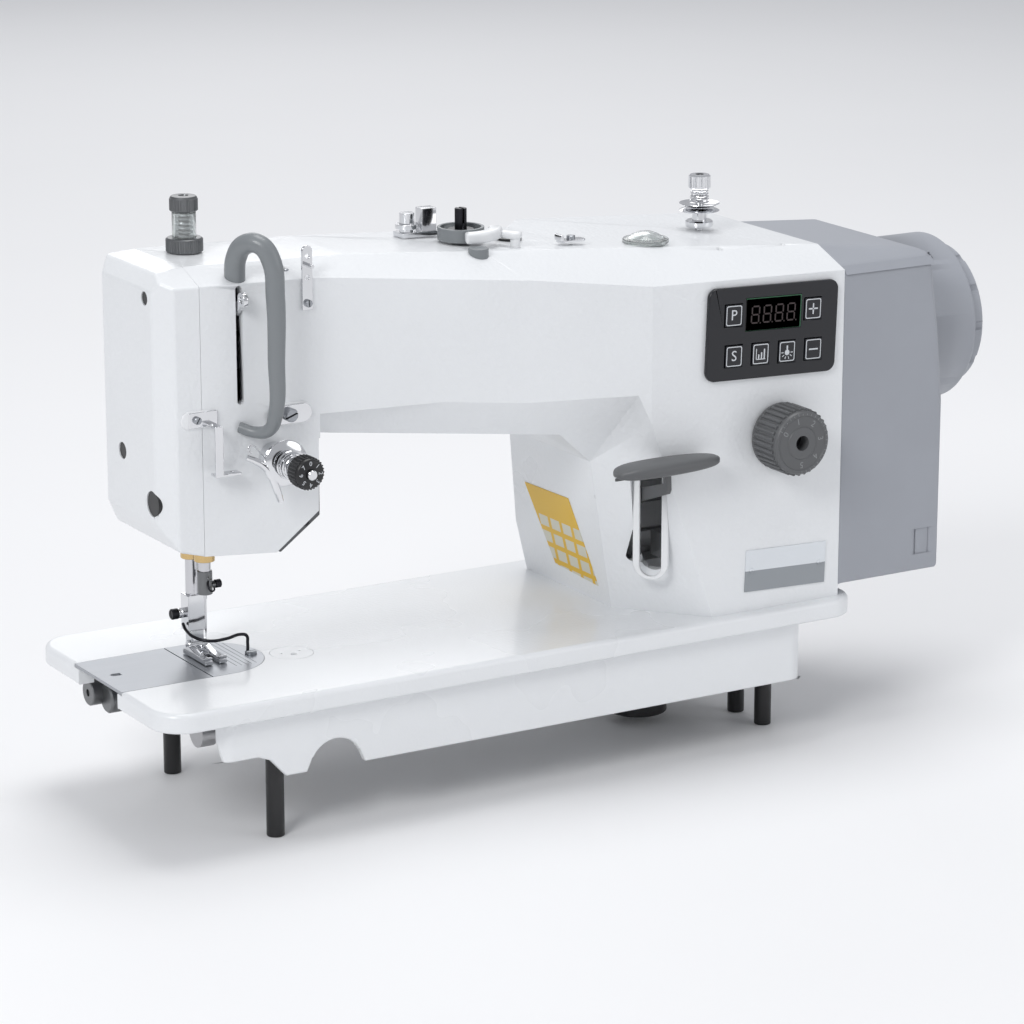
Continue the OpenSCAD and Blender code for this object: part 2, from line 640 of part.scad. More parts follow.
module reverse_lever() in_frame() color(dark_grey) {
    difference() {
        round_slab([lever_x - 45, front_y - 0.6 - 24, 98.5], [paddle_len, 24, 9], 9);
        for (i = [0 : 4]) block([lever_x - 37 + i * 12, front_y - 21, 97.5], [9, 15, 6]);
    }
    hull() {
        rod_x([lever_x - 1.7, front_y - 3, 100.5], 3.4, 2.5);
        rod_x([lever_x - 1.7, front_y - 3, 86], 3.4, 3);
    }
    hull() {
        rod_x([lever_x - 1.7, front_y - 3, 86], 3.4, 3);
        rod_x([lever_x - 1.7, lever_pivot.y, lever_pivot.z], 3.4, 5);
    }
    rod_x([lever_x - 5, lever_pivot.y, lever_pivot.z], 60, 4);
}

module stitch_dial() in_frame() color(dark_grey) difference() {
    union() {
        rod_y([dial_x, dial_y1, dial_z], dial_depth, dial_r - 0.8);
        for (a = [0 : 15 : 345]) translate([dial_x, 0, dial_z]) rotate([0, a, 0])
            block([-1.6, dial_y1 + 1, dial_r - 2], [3.2, dial_depth - 4, 2]);
        rod_y([dial_x, dial_y0 - 0.1, dial_z], 26, 7.9);
    }
    rod_y([dial_x, dial_y1 - 1, dial_z], 12, 4.5);
}

// ---- Thread path ----

// A smooth curve through the points of a path, s steps between each pair
function curve_point(p, i, t) = let (
    a = p[max(i - 1, 0)], b = p[i], c = p[i + 1], d = p[min(i + 2, len(p) - 1)])
    0.5 * (2 * b + (c - a) * t + (2 * a - 5 * b + 4 * c - d) * t * t
        + (3 * b - a - 3 * c + d) * t * t * t);
function curve(p, s) = concat([for (i = [0 : len(p) - 2], k = [0 : s - 1]) curve_point(p, i, k / s)],
    [p[len(p) - 1]]);

// A round bar along a path, its radius going from r0 to r1, with n sides
module bent_bar(path, r0, r1, n) {
    m = len(path);
    rings = [for (i = [0 : m - 1]) let (
        t = path[min(i + 1, m - 1)] - path[max(i - 1, 0)],
        u = cross(t, [1, 1, 1]) / norm(cross(t, [1, 1, 1])),
        v = cross(u, t) / norm(cross(u, t)),
        r = r0 + (r1 - r0) * i / (m - 1))
        for (k = [0 : n - 1]) path[i] + r * (u * cos(360 * k / n) + v * sin(360 * k / n))];
    polyhedron(rings, concat([[for (k = [0 : n - 1]) n - 1 - k]],
        [for (i = [0 : m - 2], k = [0 : n - 1]) [i * n + k, i * n + (k + 1) % n,
            (i + 1) * n + (k + 1) % n, (i + 1) * n + k]],
        [[for (k = [0 : n - 1]) (m - 1) * n + k]]));
}

guard_path = [for (p = [[1, 7, 232], [1, 2, 250], [6, -7, 256], [13, -15, 246], [15, -17, 220],
    [13, -16, 152], [8, -9, 147], [-2, 1, 150]]) p + [take_up_x, head_y, 0]];

module take_up_guard() in_frame() color(grey_paint) bent_bar(curve(guard_path, 5), 5.2, 3, 10);

module take_up_lever() in_frame() color(chrome) difference() {
    union() {
        rod_x([take_up_x - 1.5, take_up_pivot.y, take_up_pivot.z], 3, 6);
        rod_x([take_up_x - 1.5, head_y - 5, 223], 3, 4.5);
        hull() {
            rod_x([take_up_x - 1.5, take_up_pivot.y - 2, take_up_pivot.z + 2], 3, 4);
            rod_x([take_up_x - 1.5, head_y - 4, 222], 3, 2.6);
        }
    }
    rod_x([take_up_x - 5, head_y - 5, 223], 10, 1.8);
    rod_x([take_up_x - 5, take_up_pivot.y, take_up_pivot.z], 10, 3 + run_fit);
}

module thread_guides() in_frame() color(chrome) {
    // Angle guide on the front of the face plate
    difference() {
        union() {
            block([face_x - 9, head_y - 1.5, 152], [18, 1.5, 9]);
            block([face_x + 3, head_y - 9, 152], [5, 9, 1.5]);
            block([face_x + 3, head_y - 10.5, 124], [5, 1.5, 29.5]);
            block([face_x + 3, head_y - 10.5, 124], [16, 7, 1.5]);
        }
        rod_z([face_x + 15, head_y - 7, 120], 10, 1.2);
        screw_holes();
    }
    // Oval plate above the tension discs
    difference() {
        union() {
            block([tension_x + 1.6, head_y - 2.6, 147.5], [17, 2, 11]);
            for (x = [tension_x + 1.6, tension_x + 18.6]) rod_y([x, head_y - 2.6, 153], 2, 5.5);
        }
        rod_y([tension_x + 9.6, head_y - 4, 153], 10, 2.2);
    }
    // Upright plate with two thread holes
    difference() {
        union() {
            block([eye_x - 3.2, head_y - 1.7, 212], [6.5, 1.7, 34]);
            rod_y([eye_x, head_y - 1.7, 246], 1.7, 3.2);
            rod_y([eye_x, head_y - 8, 238], 8, 1.3);
        }
        for (z = [231, 243]) rod_y([eye_x, head_y - 5, z], 10, 1.3);
        screw_holes();
    }
    // Thread knife on top of the arm
    difference() {
        round_slab([knife.x - 9, knife.y - 4, top_z(knife.x) + 2.1], [18, 8, 1.4], 3);
        rod_z([knife.x, knife.y, 200], 60, 1.5);
    }
    block([knife.x - 9, knife.y - 4, top_z(knife.x) + 3.4], [2, 8, 3.5]);
    winder_tension();
}

module tension_posts() in_frame() color(chrome) {
    front_post();
    top_post();
}

module front_post() difference() {
    union() {
        rod_y([tension_x, head_y - 49, tension_z], 62, 3);
        rod_y([tension_x, head_y - 9, tension_z], 9, 9.5);
        rod_y([tension_x, head_y - 9.2, tension_z], 12, 4.45);
        for (y = [head_y - 19, head_y - 15.8]) translate([tension_x, y + 1.5, tension_z]) rotate([90, 0, 0])
            rotate_extrude($fn = 64) polygon([[2.5, -0.6], [10, -0.6], [13.5, 0.6], [13.5, 1.4],
                [10, 0.6], [2.5, 0.6]]);
        for (i = [0 : 4]) translate([tension_x, head_y - 20.5 - i * 2.4, tension_z]) rotate([90, 0, 0])
            rotate_extrude($fn = 64) translate([8 - i * 0.7, 0]) circle(r = 0.7, $fn = 24);
    }
    block([tension_x - 0.5, head_y - 51, tension_z - 5], [1, 12, 10]);
}

module tension_dial() in_frame() color(black) difference() {
    union() {
        rod_y([tension_x, head_y - 46, tension_z], 12, 9.2);
        for (a = [0 : 15 : 345]) translate([tension_x, head_y - 45, tension_z]) rotate([0, a, 0])
            block([-0.6, 0, 8.8], [1.2, 10, 1.2]);
    }
    rod_y([tension_x, head_y - 50, tension_z], 20, 3 + run_fit);
}

module winder_base() in_frame() color(grey_paint) {
    z = top_z(winder_p.x) + 2.1;
    difference() {
        rod_z([winder_p.x, winder_p.y, z], 8, 14);
        rod_z([winder_p.x, winder_p.y, z + 2], 8, 12);
        rod_z([winder_p.x, winder_p.y, z - 2], 20, 5.2);
    }
    tube_z(winder_p.x, winder_p.y, 209, z - 209 + 4, 5.1, 3 + run_fit);
    rod_z([winder_knob.x, winder_knob.y, top_z(winder_knob.x) - 6], 8.4, 6);
}

module winder_tension() {
    x = winder_p.x - 29;
    y = winder_p.y + 18;
    z = top_z(x) + 0.1;
    block([x, y, z], [28, 12, 3]);
    rod_z([x + 6, y + 6, z + 2.5], 12, 4.5);
    rod_z([x + 6, y + 6, z + 5], 3, 7);
    block([x + 14, y + 2, z + 2.5], [10, 8, 14]);
}

module winder_spindle() in_frame() color(black) difference() {
    z = top_z(winder_p.x);
    union() {
        rod_z([winder_p.x, winder_p.y, 200], z + 20 - 200, 3);
        rod_z([winder_p.x, winder_p.y, z + 6.6], 2, 8);
        rod_z([winder_p.x, winder_p.y, z + 8], 13, 3.6);
    }
    block([winder_p.x - 0.5, winder_p.y - 5, z + 12], [1, 10, 20]);
}

module winder_lever() in_frame() color(white) {
    z = top_z(winder_p.x + 4) + 3.5;
    round_slab([winder_pivot.x - 51, winder_pivot.y - 4, z], [58, 8, 4], 3.9);
    rod_z([winder_pivot.x, winder_pivot.y, z - 14], 14.5, 3);
    block([winder_pivot.x - 53, winder_pivot.y - 5, z - 1], [8, 9, 8]);
}

module top_post() {
    z = top_z(post_p.x) + 2.6;
    rod_z([post_p.x, post_p.y, z - 20], 50, 2.5);
    rod_z([post_p.x, post_p.y, z], 4, 8.5);
    rod_z([post_p.x, post_p.y, z + 4], 6, 4.5);
    for (i = [0, 1]) translate([post_p.x, post_p.y, z + 11 + i * 2.6]) rotate_extrude($fn = 64)
        polygon([[2, -0.6], [9, -0.6], [12.5, 0.8], [12.5, 1.6], [9, 0.6], [2, 0.6]]);
    for (i = [0 : 3]) translate([post_p.x, post_p.y, z + 16.5 + i * 1.9]) rotate_extrude($fn = 64)
        translate([5.5, 0]) circle(r = 0.6, $fn = 24);
}

module pretension_nut() in_frame() color(chrome) {
    z = top_z(post_p.x) + 2.6;
    difference() {
        union() {
            rod_z([post_p.x, post_p.y, z + 23.5], 9, 6.4);
            for (a = [0 : 20 : 340]) translate([post_p.x, post_p.y, z + 23.8]) rotate([0, 0, a])
                block([6, -0.6, 0], [1, 1.2, 8.4]);
        }
        rod_z([post_p.x, post_p.y, z], 60, 2.5 + run_fit);
    }
}

module regulator_sleeve() in_frame() color(chrome) difference() {
    union() {
        rod_z([reg_p.x, reg_p.y, head_h - 0.1], 23.1, 7);
        rod_z([reg_p.x, reg_p.y, head_h - 0.2], 8.4, 10.6);
        rod_z([reg_p.x, reg_p.y, head_h - 20], 20, 5.4);
    }
    rod_z([reg_p.x, reg_p.y, head_h - 30], 70, 3.4 + run_fit);
    rod_z([reg_p.x, reg_p.y, head_h + 10], 20, 5.6);
}

module regulator_screw() in_frame() color(chrome) {
    rod_z([reg_p.x, reg_p.y, head_h - 2], 28, 3.4);
    difference() {
        rod_z([reg_p.x, reg_p.y, head_h + 23.4], 9, 8.2);
        for (a = [0 : 20 : 340]) translate([reg_p.x, reg_p.y, head_h + 23]) rotate([0, 0, a])
            block([7.8, -0.5, 0], [1, 1, 7.5]);
    }
}

module oil_window() in_frame() color([0.8, 0.85, 0.85]) {
    z = top_z(window_p.x) + 1.1;
    difference() {
        union() {
            rod_z([window_p.x, window_p.y, z], 2.5, 14);
            rod_z([window_p.x, window_p.y, z - 9], 9.1, 11.9);
        }
        rod_z([window_p.x, window_p.y, z - 10], 11, 10);
    }
    translate([window_p.x, window_p.y, z + 2.4]) intersection() {
        translate([0, 0, -15]) sphere(r = 19.5, $fn = 64);
        rod_z([0, 0, 0], 10, 12);
    }
}

module lamp_housing() in_frame() color(dark_grey) difference() {
    face_xz(head_y + 11, head_y + 31) polygon([[97.4, 73], [103, 68], [129, 87], [129, 112], [123.1, 112], [122.9, 92.6]]);
    rod_y([119, head_y + 5, 84.6], 12, 2.5);
    block([100, head_y + 15, 60], [10, 12, 12]);
}

module lamp_button() in_frame() color(black) rod_y([119, head_y + 9.5, 84.6], 6, 2.2);

// An upright screw in the arm's top, its seat sunk by d
function top_screw(x, y, d, r, l) = [[x, y, top_z(x) - d], [0, 0, 0], r, l];

// Each screw of the arm: the middle of its head's seat, its turn, its head's radius and its length
screws = concat([
    [[tension_x + 9.6, head_y - 2.6, 153], [90, 0, 0], 4, 8],
    [[face_x - 4, head_y - 1.5, 156.5], [90, 0, 0], 2.2, 6],
    [[eye_x, head_y - 1.7, 216], [90, 0, 0], 2.2, 6],
    [[knife.x, knife.y, top_z(knife.x) + 3.5], [0, 0, 0], 2.6, 9],
    top_screw(needle_x + 32, needle_y + 9, 0.6, 2.6, 6),
    top_screw(needle_x + 40, needle_y - 16, 0.6, 2.6, 6),
    top_screw(needle_x + 38, needle_y - 33, 6, 2.6, 5),
    top_screw(pillar_x + 64, front_y + 32, 6, 2, 4),
    top_screw(pillar_x + 110, front_y + 32, 6, 2, 4)],
    [for (x = [pillar_x + 18, pillar_end - 18], z = [12, 170])
        [[x, pillar_back + 3.2, z], [-90, 0, 0], 3, 9]]);

// The holes and head seats of those screws
module screw_holes() for (s = screws) translate(s[0]) rotate(s[1]) {
    translate([0, 0, -s[3] - 0.2]) cylinder(h = s[3] + 1, r = s[2] * 0.55, $fn = 48);
    cylinder(h = 20, r = s[2], $fn = 48);
}

module fasteners() in_frame() color(steel) {
    translate([needle_x + 27, needle_y - 4, -0.9]) rotate([0, 0, 30]) screw(3.4, 5);
    for (s = screws) translate(s[0]) rotate(s[1]) screw(s[2], s[3]);
    rod_x([take_up_x - 2.5, take_up_pivot.y, take_up_pivot.z], bulkhead + 12.5 - take_up_x, 3);
}

// ---- Main drive ----

module main_shaft() in_frame() color(steel) {
    rod_x([crank_x1, shaft_y, shaft_z], wheel_x0 + 8 - crank_x1, shaft_r);
    bevel(gear_x, gear_r, 18, 10);
    rod_x([upright_x - 90, shaft_y, shaft_z], 12, shaft_r + 7.5);
}

mesh_gap = 0.3;
gear_r = 20;
hook_gear_r = 11;
gear_x = upright_x - gear_r - mesh_gap;

// A bevel gear on the main shaft whose wide face is at x and whose small face is w further on
module bevel(x, r0, teeth, w) difference() {
    translate([x, shaft_y, shaft_z]) rotate([0, 90, 0]) cylinder(h = w, r1 = r0, r2 = r0 - w, $fn = 64);
    for (i = [0 : teeth - 1]) translate([x, shaft_y, shaft_z]) rotate([i * 360 / teeth, 0, 0])
        translate([0, 0, r0]) rotate([0, 45, 0]) block([-4, -1.5, -2.6], [22, 3, 6]);
    rod_x([x - 1, shaft_y, shaft_z], 30, shaft_r - 0.5);
}

module handwheel() in_frame() color(grey_paint) difference() {
    union() {
        rod_x([wheel_x0, shaft_y, shaft_z], wheel_wid - 3, wheel_r);
        translate([wheel_x1 - 3, shaft_y, shaft_z]) rotate([0, 90, 0])
            cylinder(h = 3, r1 = wheel_r, r2 = wheel_r - 4, $fn = 64);
    }
    rod_x([wheel_x0 - 1, shaft_y, shaft_z], 9.1, shaft_r);
    for (a = [0 : 30 : 330]) translate([0, shaft_y, shaft_z]) rotate([a, 0, 0])
        rod_x([wheel_x0 - 1, 0, wheel_r + 1], far, 3);
}

module motor_rotor() in_frame() color(steel) tube_x(motor_x0 + 16, shaft_y, shaft_z, 48, 33, shaft_r);

module needle_crank() in_frame() color(steel) {
    difference() {
        union() {
            rod_x([crank_x0, shaft_y, shaft_z], 14.1, 13);
            hull() {
                rod_x([crank_x0, shaft_y, shaft_z], 12, 9);
                rod_x([crank_x0, shaft_y, shaft_z + crank_r], 12, 7);
            }
            intersection() {
                rod_x([crank_x0, shaft_y, shaft_z], 12, 22);
                block([crank_x0 - 4, shaft_y - 30, shaft_z - 30], [20, 60, 26]);
            }
        }
        rod_x([crank_x0 + 6, shaft_y, shaft_z], 12, 4);
    }
    rod_x([crank_x0 - 5.4, shaft_y, shaft_z + crank_r], 8, 4.5);
}

module upright_shaft() in_frame() color(steel)
    rod_z([upright_x, shaft_y, -58], shaft_z - 12 + 58, side_shaft_r);

// A bevel wheel on the upright shaft: wide face at z, small face w away, downwards if down
module bevel_wheel(z, r0, r1, w, teeth, down) translate([upright_x, shaft_y, z])
    rotate([down ? 180 : 0, 0, 0]) difference() {
        cylinder(h = w, r1 = r0, r2 = r1, $fn = 64);
        for (i = [0 : teeth - 1]) rotate([0, 0, i * 360 / teeth]) translate([r0, 0, 0])
            rotate([0, -atan2(r0 - r1, w), 0]) block([-1.8, -1.2, -4], [6, 2.4, 24]);
        translate([0, 0, -1]) cylinder(h = w + 2, r = side_shaft_r, $fn = 64);
    }

module upright_gears() in_frame() color(steel) {
    bevel_wheel(shaft_z - gear_r - mesh_gap, gear_r, gear_r - 10, 10, 18, false);
    bevel_wheel(hook_z + hook_gear_r + mesh_gap, gear_r, gear_r - 10, 5, 20, true);
}

module hook_shaft() in_frame() color(steel) {
    rod_x([needle_x + 4, needle_y, hook_z], upright_x - 17 - needle_x, side_shaft_r);
    translate([gear_x, needle_y, hook_z]) rotate([0, 90, 0]) difference() {
        cylinder(h = 8, r1 = hook_gear_r, r2 = hook_gear_r - 4, $fn = 64);
        for (i = [0 : 9]) rotate([0, 0, i * 36]) translate([hook_gear_r, 0, 0])
            rotate([0, -26.6, 0]) block([-1.6, -1.2, -3], [5, 2.4, 16]);
    }
}

module rotary_hook() in_frame() color(chrome) difference() {
    union() {
        rod_x([needle_x + 1.4, needle_y, hook_z], 10, hook_r);
        rod_x([needle_x + 11, needle_y, hook_z], 12, 9.5);
    }
    rod_x([needle_x, needle_y, hook_z], 8.6, hook_r - 2.4);
    rod_x([needle_x + 6, needle_y, hook_z], 30, side_shaft_r);
    block([needle_x, needle_y + 3, hook_z + hook_r - 5], [7, 8, 8]);
}

module bobbin_case() in_frame() color(steel) {
    difference() {
        union() {
            rod_x([needle_x - 11, needle_y, hook_z], 18.2, hook_r - 3.6);
            block([needle_x - 13, needle_y - 2, hook_z - hook_r + 4.5], [2.2, 4, 2 * hook_r - 9]);
        }
        rod_x([needle_x - 9, needle_y, hook_z], 20, hook_r - 5);
    }
    rod_x([needle_x - 10, needle_y, hook_z], 13, 3 - run_fit);
}

module bobbin() in_frame() color(steel) {
    difference() {
        union() {
            rod_x([needle_x - 7, needle_y, hook_z], 1, hook_r - 6);
            rod_x([needle_x + 2, needle_y, hook_z], 1, hook_r - 6);
            rod_x([needle_x - 7, needle_y, hook_z], 9.5, 4.5);
        }
        rod_x([needle_x - 10, needle_y, hook_z], 20, 3);
    }
}

// ---- Needle bar and presser ----

module needle_bar() in_frame() color(steel)
    rod_z([needle_x, needle_y, bar_tip + 8], head_h - 10 - bar_tip - 8, needle_bar_r);

module needle_link() in_frame() color(steel) {
    difference() {
        block([needle_x - 6, needle_y - 6, stud_z - 6], [10.5, 12, 12]);
        rod_z([needle_x, needle_y, stud_z - 7], 14, needle_bar_r);
    }
    difference() {
        hull() {
            rod_x([needle_x + 4.3, needle_y, stud_z], 3, 5);
            rod_x([needle_x + 4.3, needle_y, shaft_z + crank_r], 3, 5);
        }
        rod_x([needle_x, needle_y, shaft_z + crank_r], 10, 3);
    }
}

module needle_clamp() in_frame() color(chrome) {
    difference() {
        union() {
            rod_z([needle_x, needle_y, bar_tip - 6], 14, 4.4);
            rod_x([needle_x + 3, needle_y, bar_tip - 1], 6, 2);
            rod_y([needle_x, needle_y - 9, bar_tip + 4], 6, 0.7);
        }
        rod_z([needle_x, needle_y, bar_tip - 7], 12, 1.05);
    }
}

module needle() in_frame() color(chrome) {
    rod_z([needle_x, needle_y, bar_tip - 9], 12, 1);
    rod_z([needle_x, needle_y, needle_point + 6], bar_tip - needle_point - 14, 0.6);
    translate([needle_x, needle_y, needle_point]) cylinder(h = 6.1, r1 = 0.1, r2 = 0.6, $fn = 32);
}

module presser_bar() in_frame() color(steel) {
    rod_z([needle_x, presser_y, 30], head_h - 28 - 30, presser_bar_r);
    difference() {
        block([needle_x - 8, presser_y - 7, 112], [16, 14, 12]);
        rod_z([needle_x, presser_y, 100], 40, presser_bar_r);
    }
}

module presser_foot() in_frame() color(chrome) {
    difference() {
        block([needle_x - 5.5, presser_y - 5, 14], [11, 9.5, 22]);
        rod_z([needle_x, presser_y, 30], 10, presser_bar_r);
    }
    block([needle_x - 4, presser_y - 6, 2.7], [8, 8, 12]);
    difference() {
        block([needle_x - 7, needle_y - 13, 0.4], [14, 30, 2.4]);
        block([needle_x - 2.2, needle_y - 14, 0], [4.4, 17, 5]);
    }
    rod_x([needle_x - 10, presser_y, 25], 5, 3);
    bent_bar(curve([[needle_x - 7, presser_y - 1, 18], [needle_x - 8.5, presser_y - 8, 16.5],
        [needle_x - 7.5, needle_y - 2, 14.5], [needle_x - 2, needle_y - 8.5, 13.5],
        [needle_x + 9, needle_y - 9, 13.5], [needle_x + 20, needle_y - 9, 14.5],
        [needle_x + 22.5, needle_y - 9, 12.5], [needle_x + 22.5, needle_y - 9, 4]], 4), 0.9, 0.9, 8);
}

module lifter_lever() in_frame() color(chrome) {
    rod_y([lifter_p.x, head_back - 22, lifter_p.y], 30, 4.9);
    hull() {
        rod_y([lifter_p.x, head_back + 3, lifter_p.y], 5, 7);
        rod_y([lifter_p.x + 26, head_back + 3, lifter_p.y - 30], 5, 5);
    }
    rod_y([lifter_p.x + 26, head_back + 3, lifter_p.y - 30], 14, 5);
}

// ---- Feed ----

module feed_rocker() in_frame() color(steel) {
    rod_x([needle_x - 26, feed_y, feed_z], 56, 5);
    difference() {
        union() {
            rod_x([needle_x - 26, feed_y, feed_z], 9.5, 9);
            hull() {
                rod_x([needle_x - 4, feed_y, feed_z], 10, 7);
                rod_x([needle_x - 4, feed_y + 3, feed_z + 16], 10, 4);
            }
        }
        rod_x([needle_x - 27, feed_y, feed_z], 4, 3);
    }
}

module feed_bar() in_frame() color(steel) {
    difference() {
        block([needle_x - 7, needle_y - 24, -12], [14, 46, 4]);
        rod_z([needle_x, needle_y, -13], 6, 3.5);
    }
    for (x = [-5.1, 3.5]) block([needle_x + x, needle_y - 7, -8.5], [1.6, 15, 7.9]);
}

// ---- Assembly ----

bed_casting();
arm_casting();
face_plate();
plugs();
rear_cover();
motor_cover();
motor_stator();
needle_plate();
slide_plate();
bed_cover();
bed_posts();
shaft_bushings();
bar_bushings();
control_panel();
display_board();
lever_slot_plate();
name_plate();
take_up_guard();
thread_guides();
tension_posts();
tension_dial();
oil_window();
winder_base();
winder_spindle();
winder_lever();
pretension_nut();
regulator_sleeve();
regulator_screw();
lamp_housing();
lamp_button();
oil_pump();
fasteners();
bobbin_case();
main_shaft();
handwheel();
motor_rotor();
needle_crank();
upright_shaft();
upright_gears();
hook_shaft();
rotary_hook();
bobbin();
needle_bar();
needle_link();
needle_clamp();
needle();
presser_bar();
presser_foot();
lifter_lever();
take_up_lever();
feed_rocker();
feed_bar();
key_p();
key_s();
key_plus();
key_minus();
key_bars();
key_lamp();
stitch_dial();
reverse_lever();
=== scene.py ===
import math
import bmesh
import bpy
from mathutils import Matrix, Vector


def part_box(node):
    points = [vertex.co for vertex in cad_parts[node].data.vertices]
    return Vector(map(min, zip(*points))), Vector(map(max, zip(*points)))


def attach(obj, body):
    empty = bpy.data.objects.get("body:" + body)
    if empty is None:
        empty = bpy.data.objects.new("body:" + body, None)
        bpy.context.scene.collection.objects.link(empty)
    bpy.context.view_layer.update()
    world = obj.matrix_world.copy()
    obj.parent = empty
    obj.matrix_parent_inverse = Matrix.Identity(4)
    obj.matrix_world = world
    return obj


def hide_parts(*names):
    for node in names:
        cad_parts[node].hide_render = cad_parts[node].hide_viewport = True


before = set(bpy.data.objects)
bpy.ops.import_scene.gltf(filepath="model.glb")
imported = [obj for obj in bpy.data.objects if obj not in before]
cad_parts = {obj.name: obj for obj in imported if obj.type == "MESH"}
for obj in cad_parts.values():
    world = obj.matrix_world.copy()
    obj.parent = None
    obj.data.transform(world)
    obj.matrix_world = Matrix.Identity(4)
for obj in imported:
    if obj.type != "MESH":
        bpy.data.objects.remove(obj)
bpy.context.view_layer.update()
print("frame: loaded", len(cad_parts), "nodes")

bedLow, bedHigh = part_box("bed_casting")
bedCorner = Vector((bedLow.x, bedLow.y, bedHigh.z))  # needle-end front corner of the bed's top
collection = bpy.context.scene.collection


def at(x, y, z):
    return bedCorner + Vector((x, y, z)) * 0.001


def inBed(point):
    return (point - bedCorner) * 1000


# ---- shader tools ----

class Val:
    def __init__(self, tree, socket):
        self.tree, self.socket = tree, socket

    def math(self, operation, other):
        n = self.tree.nodes.new("ShaderNodeMath")
        n.operation = operation
        for slot, v in zip(n.inputs, (self, other)):
            if isinstance(v, Val):
                self.tree.links.new(v.socket, slot)
            else:
                slot.default_value = v
        return Val(self.tree, n.outputs[0])

    def __add__(self, o): return self.math("ADD", o)
    def __sub__(self, o): return self.math("SUBTRACT", o)
    def __mul__(self, o): return self.math("MULTIPLY", o)
    def __gt__(self, o): return self.math("GREATER_THAN", o)
    def __lt__(self, o): return self.math("LESS_THAN", o)
    __radd__ = __add__


class Finish:
    def __init__(self, name):
        self.material = bpy.data.materials.new(name)
        self.material.use_nodes = True
        self.tree = self.material.node_tree
        self.tree.nodes.clear()
        self.shader = self.tree.nodes.new("ShaderNodeBsdfPrincipled")
        out = self.tree.nodes.new("ShaderNodeOutputMaterial")
        self.tree.links.new(self.shader.outputs[0], out.inputs[0])

    def node(self, kind, settings=None, sockets=None, out=0):
        n = self.tree.nodes.new(kind)
        for key, v in (settings or {}).items():
            setattr(n, key, v)
        for key, v in (sockets or {}).items():
            self.feed(n.inputs[key], v)
        return Val(self.tree, n.outputs[out])

    def feed(self, slot, v):
        if isinstance(v, Val):
            self.tree.links.new(v.socket, slot)
        else:
            slot.default_value = v

    def place(self, stretch=(1, 1, 1), shift=(0, 0, 0), turn=(0, 0, 0)):
        where = self.node("ShaderNodeTexCoord", None, None, 3)
        return self.node("ShaderNodeMapping", None, {"Vector": where, "Scale": stretch,
                                                     "Location": shift, "Rotation": turn})

    def noise(self, scale, stretch=(1, 1, 1), detail=2.0, rough=0.5):
        return self.node("ShaderNodeTexNoise", None, {"Vector": self.place(stretch), "Scale": scale,
                                                      "Detail": detail, "Roughness": rough})

    def cells(self, scale, smooth=0.6):
        return self.node("ShaderNodeTexVoronoi", {"feature": "SMOOTH_F1"},
                         {"Vector": self.place(), "Scale": scale, "Smoothness": smooth})

    def ramp(self, value, low, high):
        return self.node("ShaderNodeMapRange", None, {"Value": value, "From Min": low, "From Max": high})

    def mix(self, factor, a, b):
        return self.node("ShaderNodeMix", {"data_type": "RGBA"}, {0: factor, 6: a, 7: b}, 2)

    def bump(self, height, strength, distance):
        self.feed(self.shader.inputs["Normal"], self.node(
            "ShaderNodeBump", None, {"Strength": strength, "Distance": distance, "Height": height}))

    def shade(self, **sockets):
        for key, v in sockets.items():
            name = "".join(" " + c if c.isupper() else c for c in key).strip().title().replace("Ior", "IOR")
            self.feed(self.shader.inputs[name], v)
        return self


def rgba(c, k=1.0):
    return (c[0] * k, c[1] * k, c[2] * k, 1)


# ---- finishes ----

def enamel(name, colour, cell, depth, rough):
    f = Finish(name)
    cloud = f.noise(9, detail=3)
    peel = f.cells(1000 / cell) * 0.55 + f.noise(640 / cell, detail=3, rough=0.6) * 0.6
    f.bump(peel, 0.7, depth)
    f.shade(baseColor=f.mix(f.ramp(cloud, 0.3, 0.7), rgba(colour, 0.965), rgba(colour)),
            roughness=f.ramp(cloud, 0.2, 0.8) * 0.08 + rough, coatWeight=0.25)
    f.shader.inputs["Coat Roughness"].default_value = 0.12
    return f.material


def plastic(name, colour, rough, grain=1800, depth=0.00003, coat=0.0):
    f = Finish(name)
    cloud = f.noise(25, detail=4)
    fine = f.noise(grain, detail=2)
    f.bump(fine, 0.35, depth)
    f.shade(baseColor=f.mix(cloud, rgba(colour, 0.93), rgba(colour, 1.05)),
            roughness=rough + (cloud - 0.5) * 0.1 + (fine - 0.5) * 0.05, coatWeight=coat)
    return f.material


def metal(name, colour, rough, stretch=(1, 1, 1), grain=900, depth=0.000012, spread=0.12):
    f = Finish(name)
    lines = f.noise(grain, stretch, detail=4, rough=0.65)
    smear = f.noise(60, detail=4)
    f.bump(lines, 0.3, depth)
    f.shade(baseColor=f.mix(smear, rgba(colour, 0.9), rgba(colour, 1.04)), metallic=1.0,
            roughness=rough + (lines - 0.5) * spread + (smear - 0.5) * 0.08)
    return f.material


def clear(name):
    f = Finish(name)
    f.shade(baseColor=f.mix(f.noise(80), (0.80, 0.84, 0.83, 1), (0.9, 0.93, 0.92, 1)),
            roughness=f.noise(200) * 0.05 + 0.06)
    f.shader.inputs["Transmission Weight"].default_value = 0.85
    f.shader.inputs["IOR"].default_value = 1.46
    return f.material


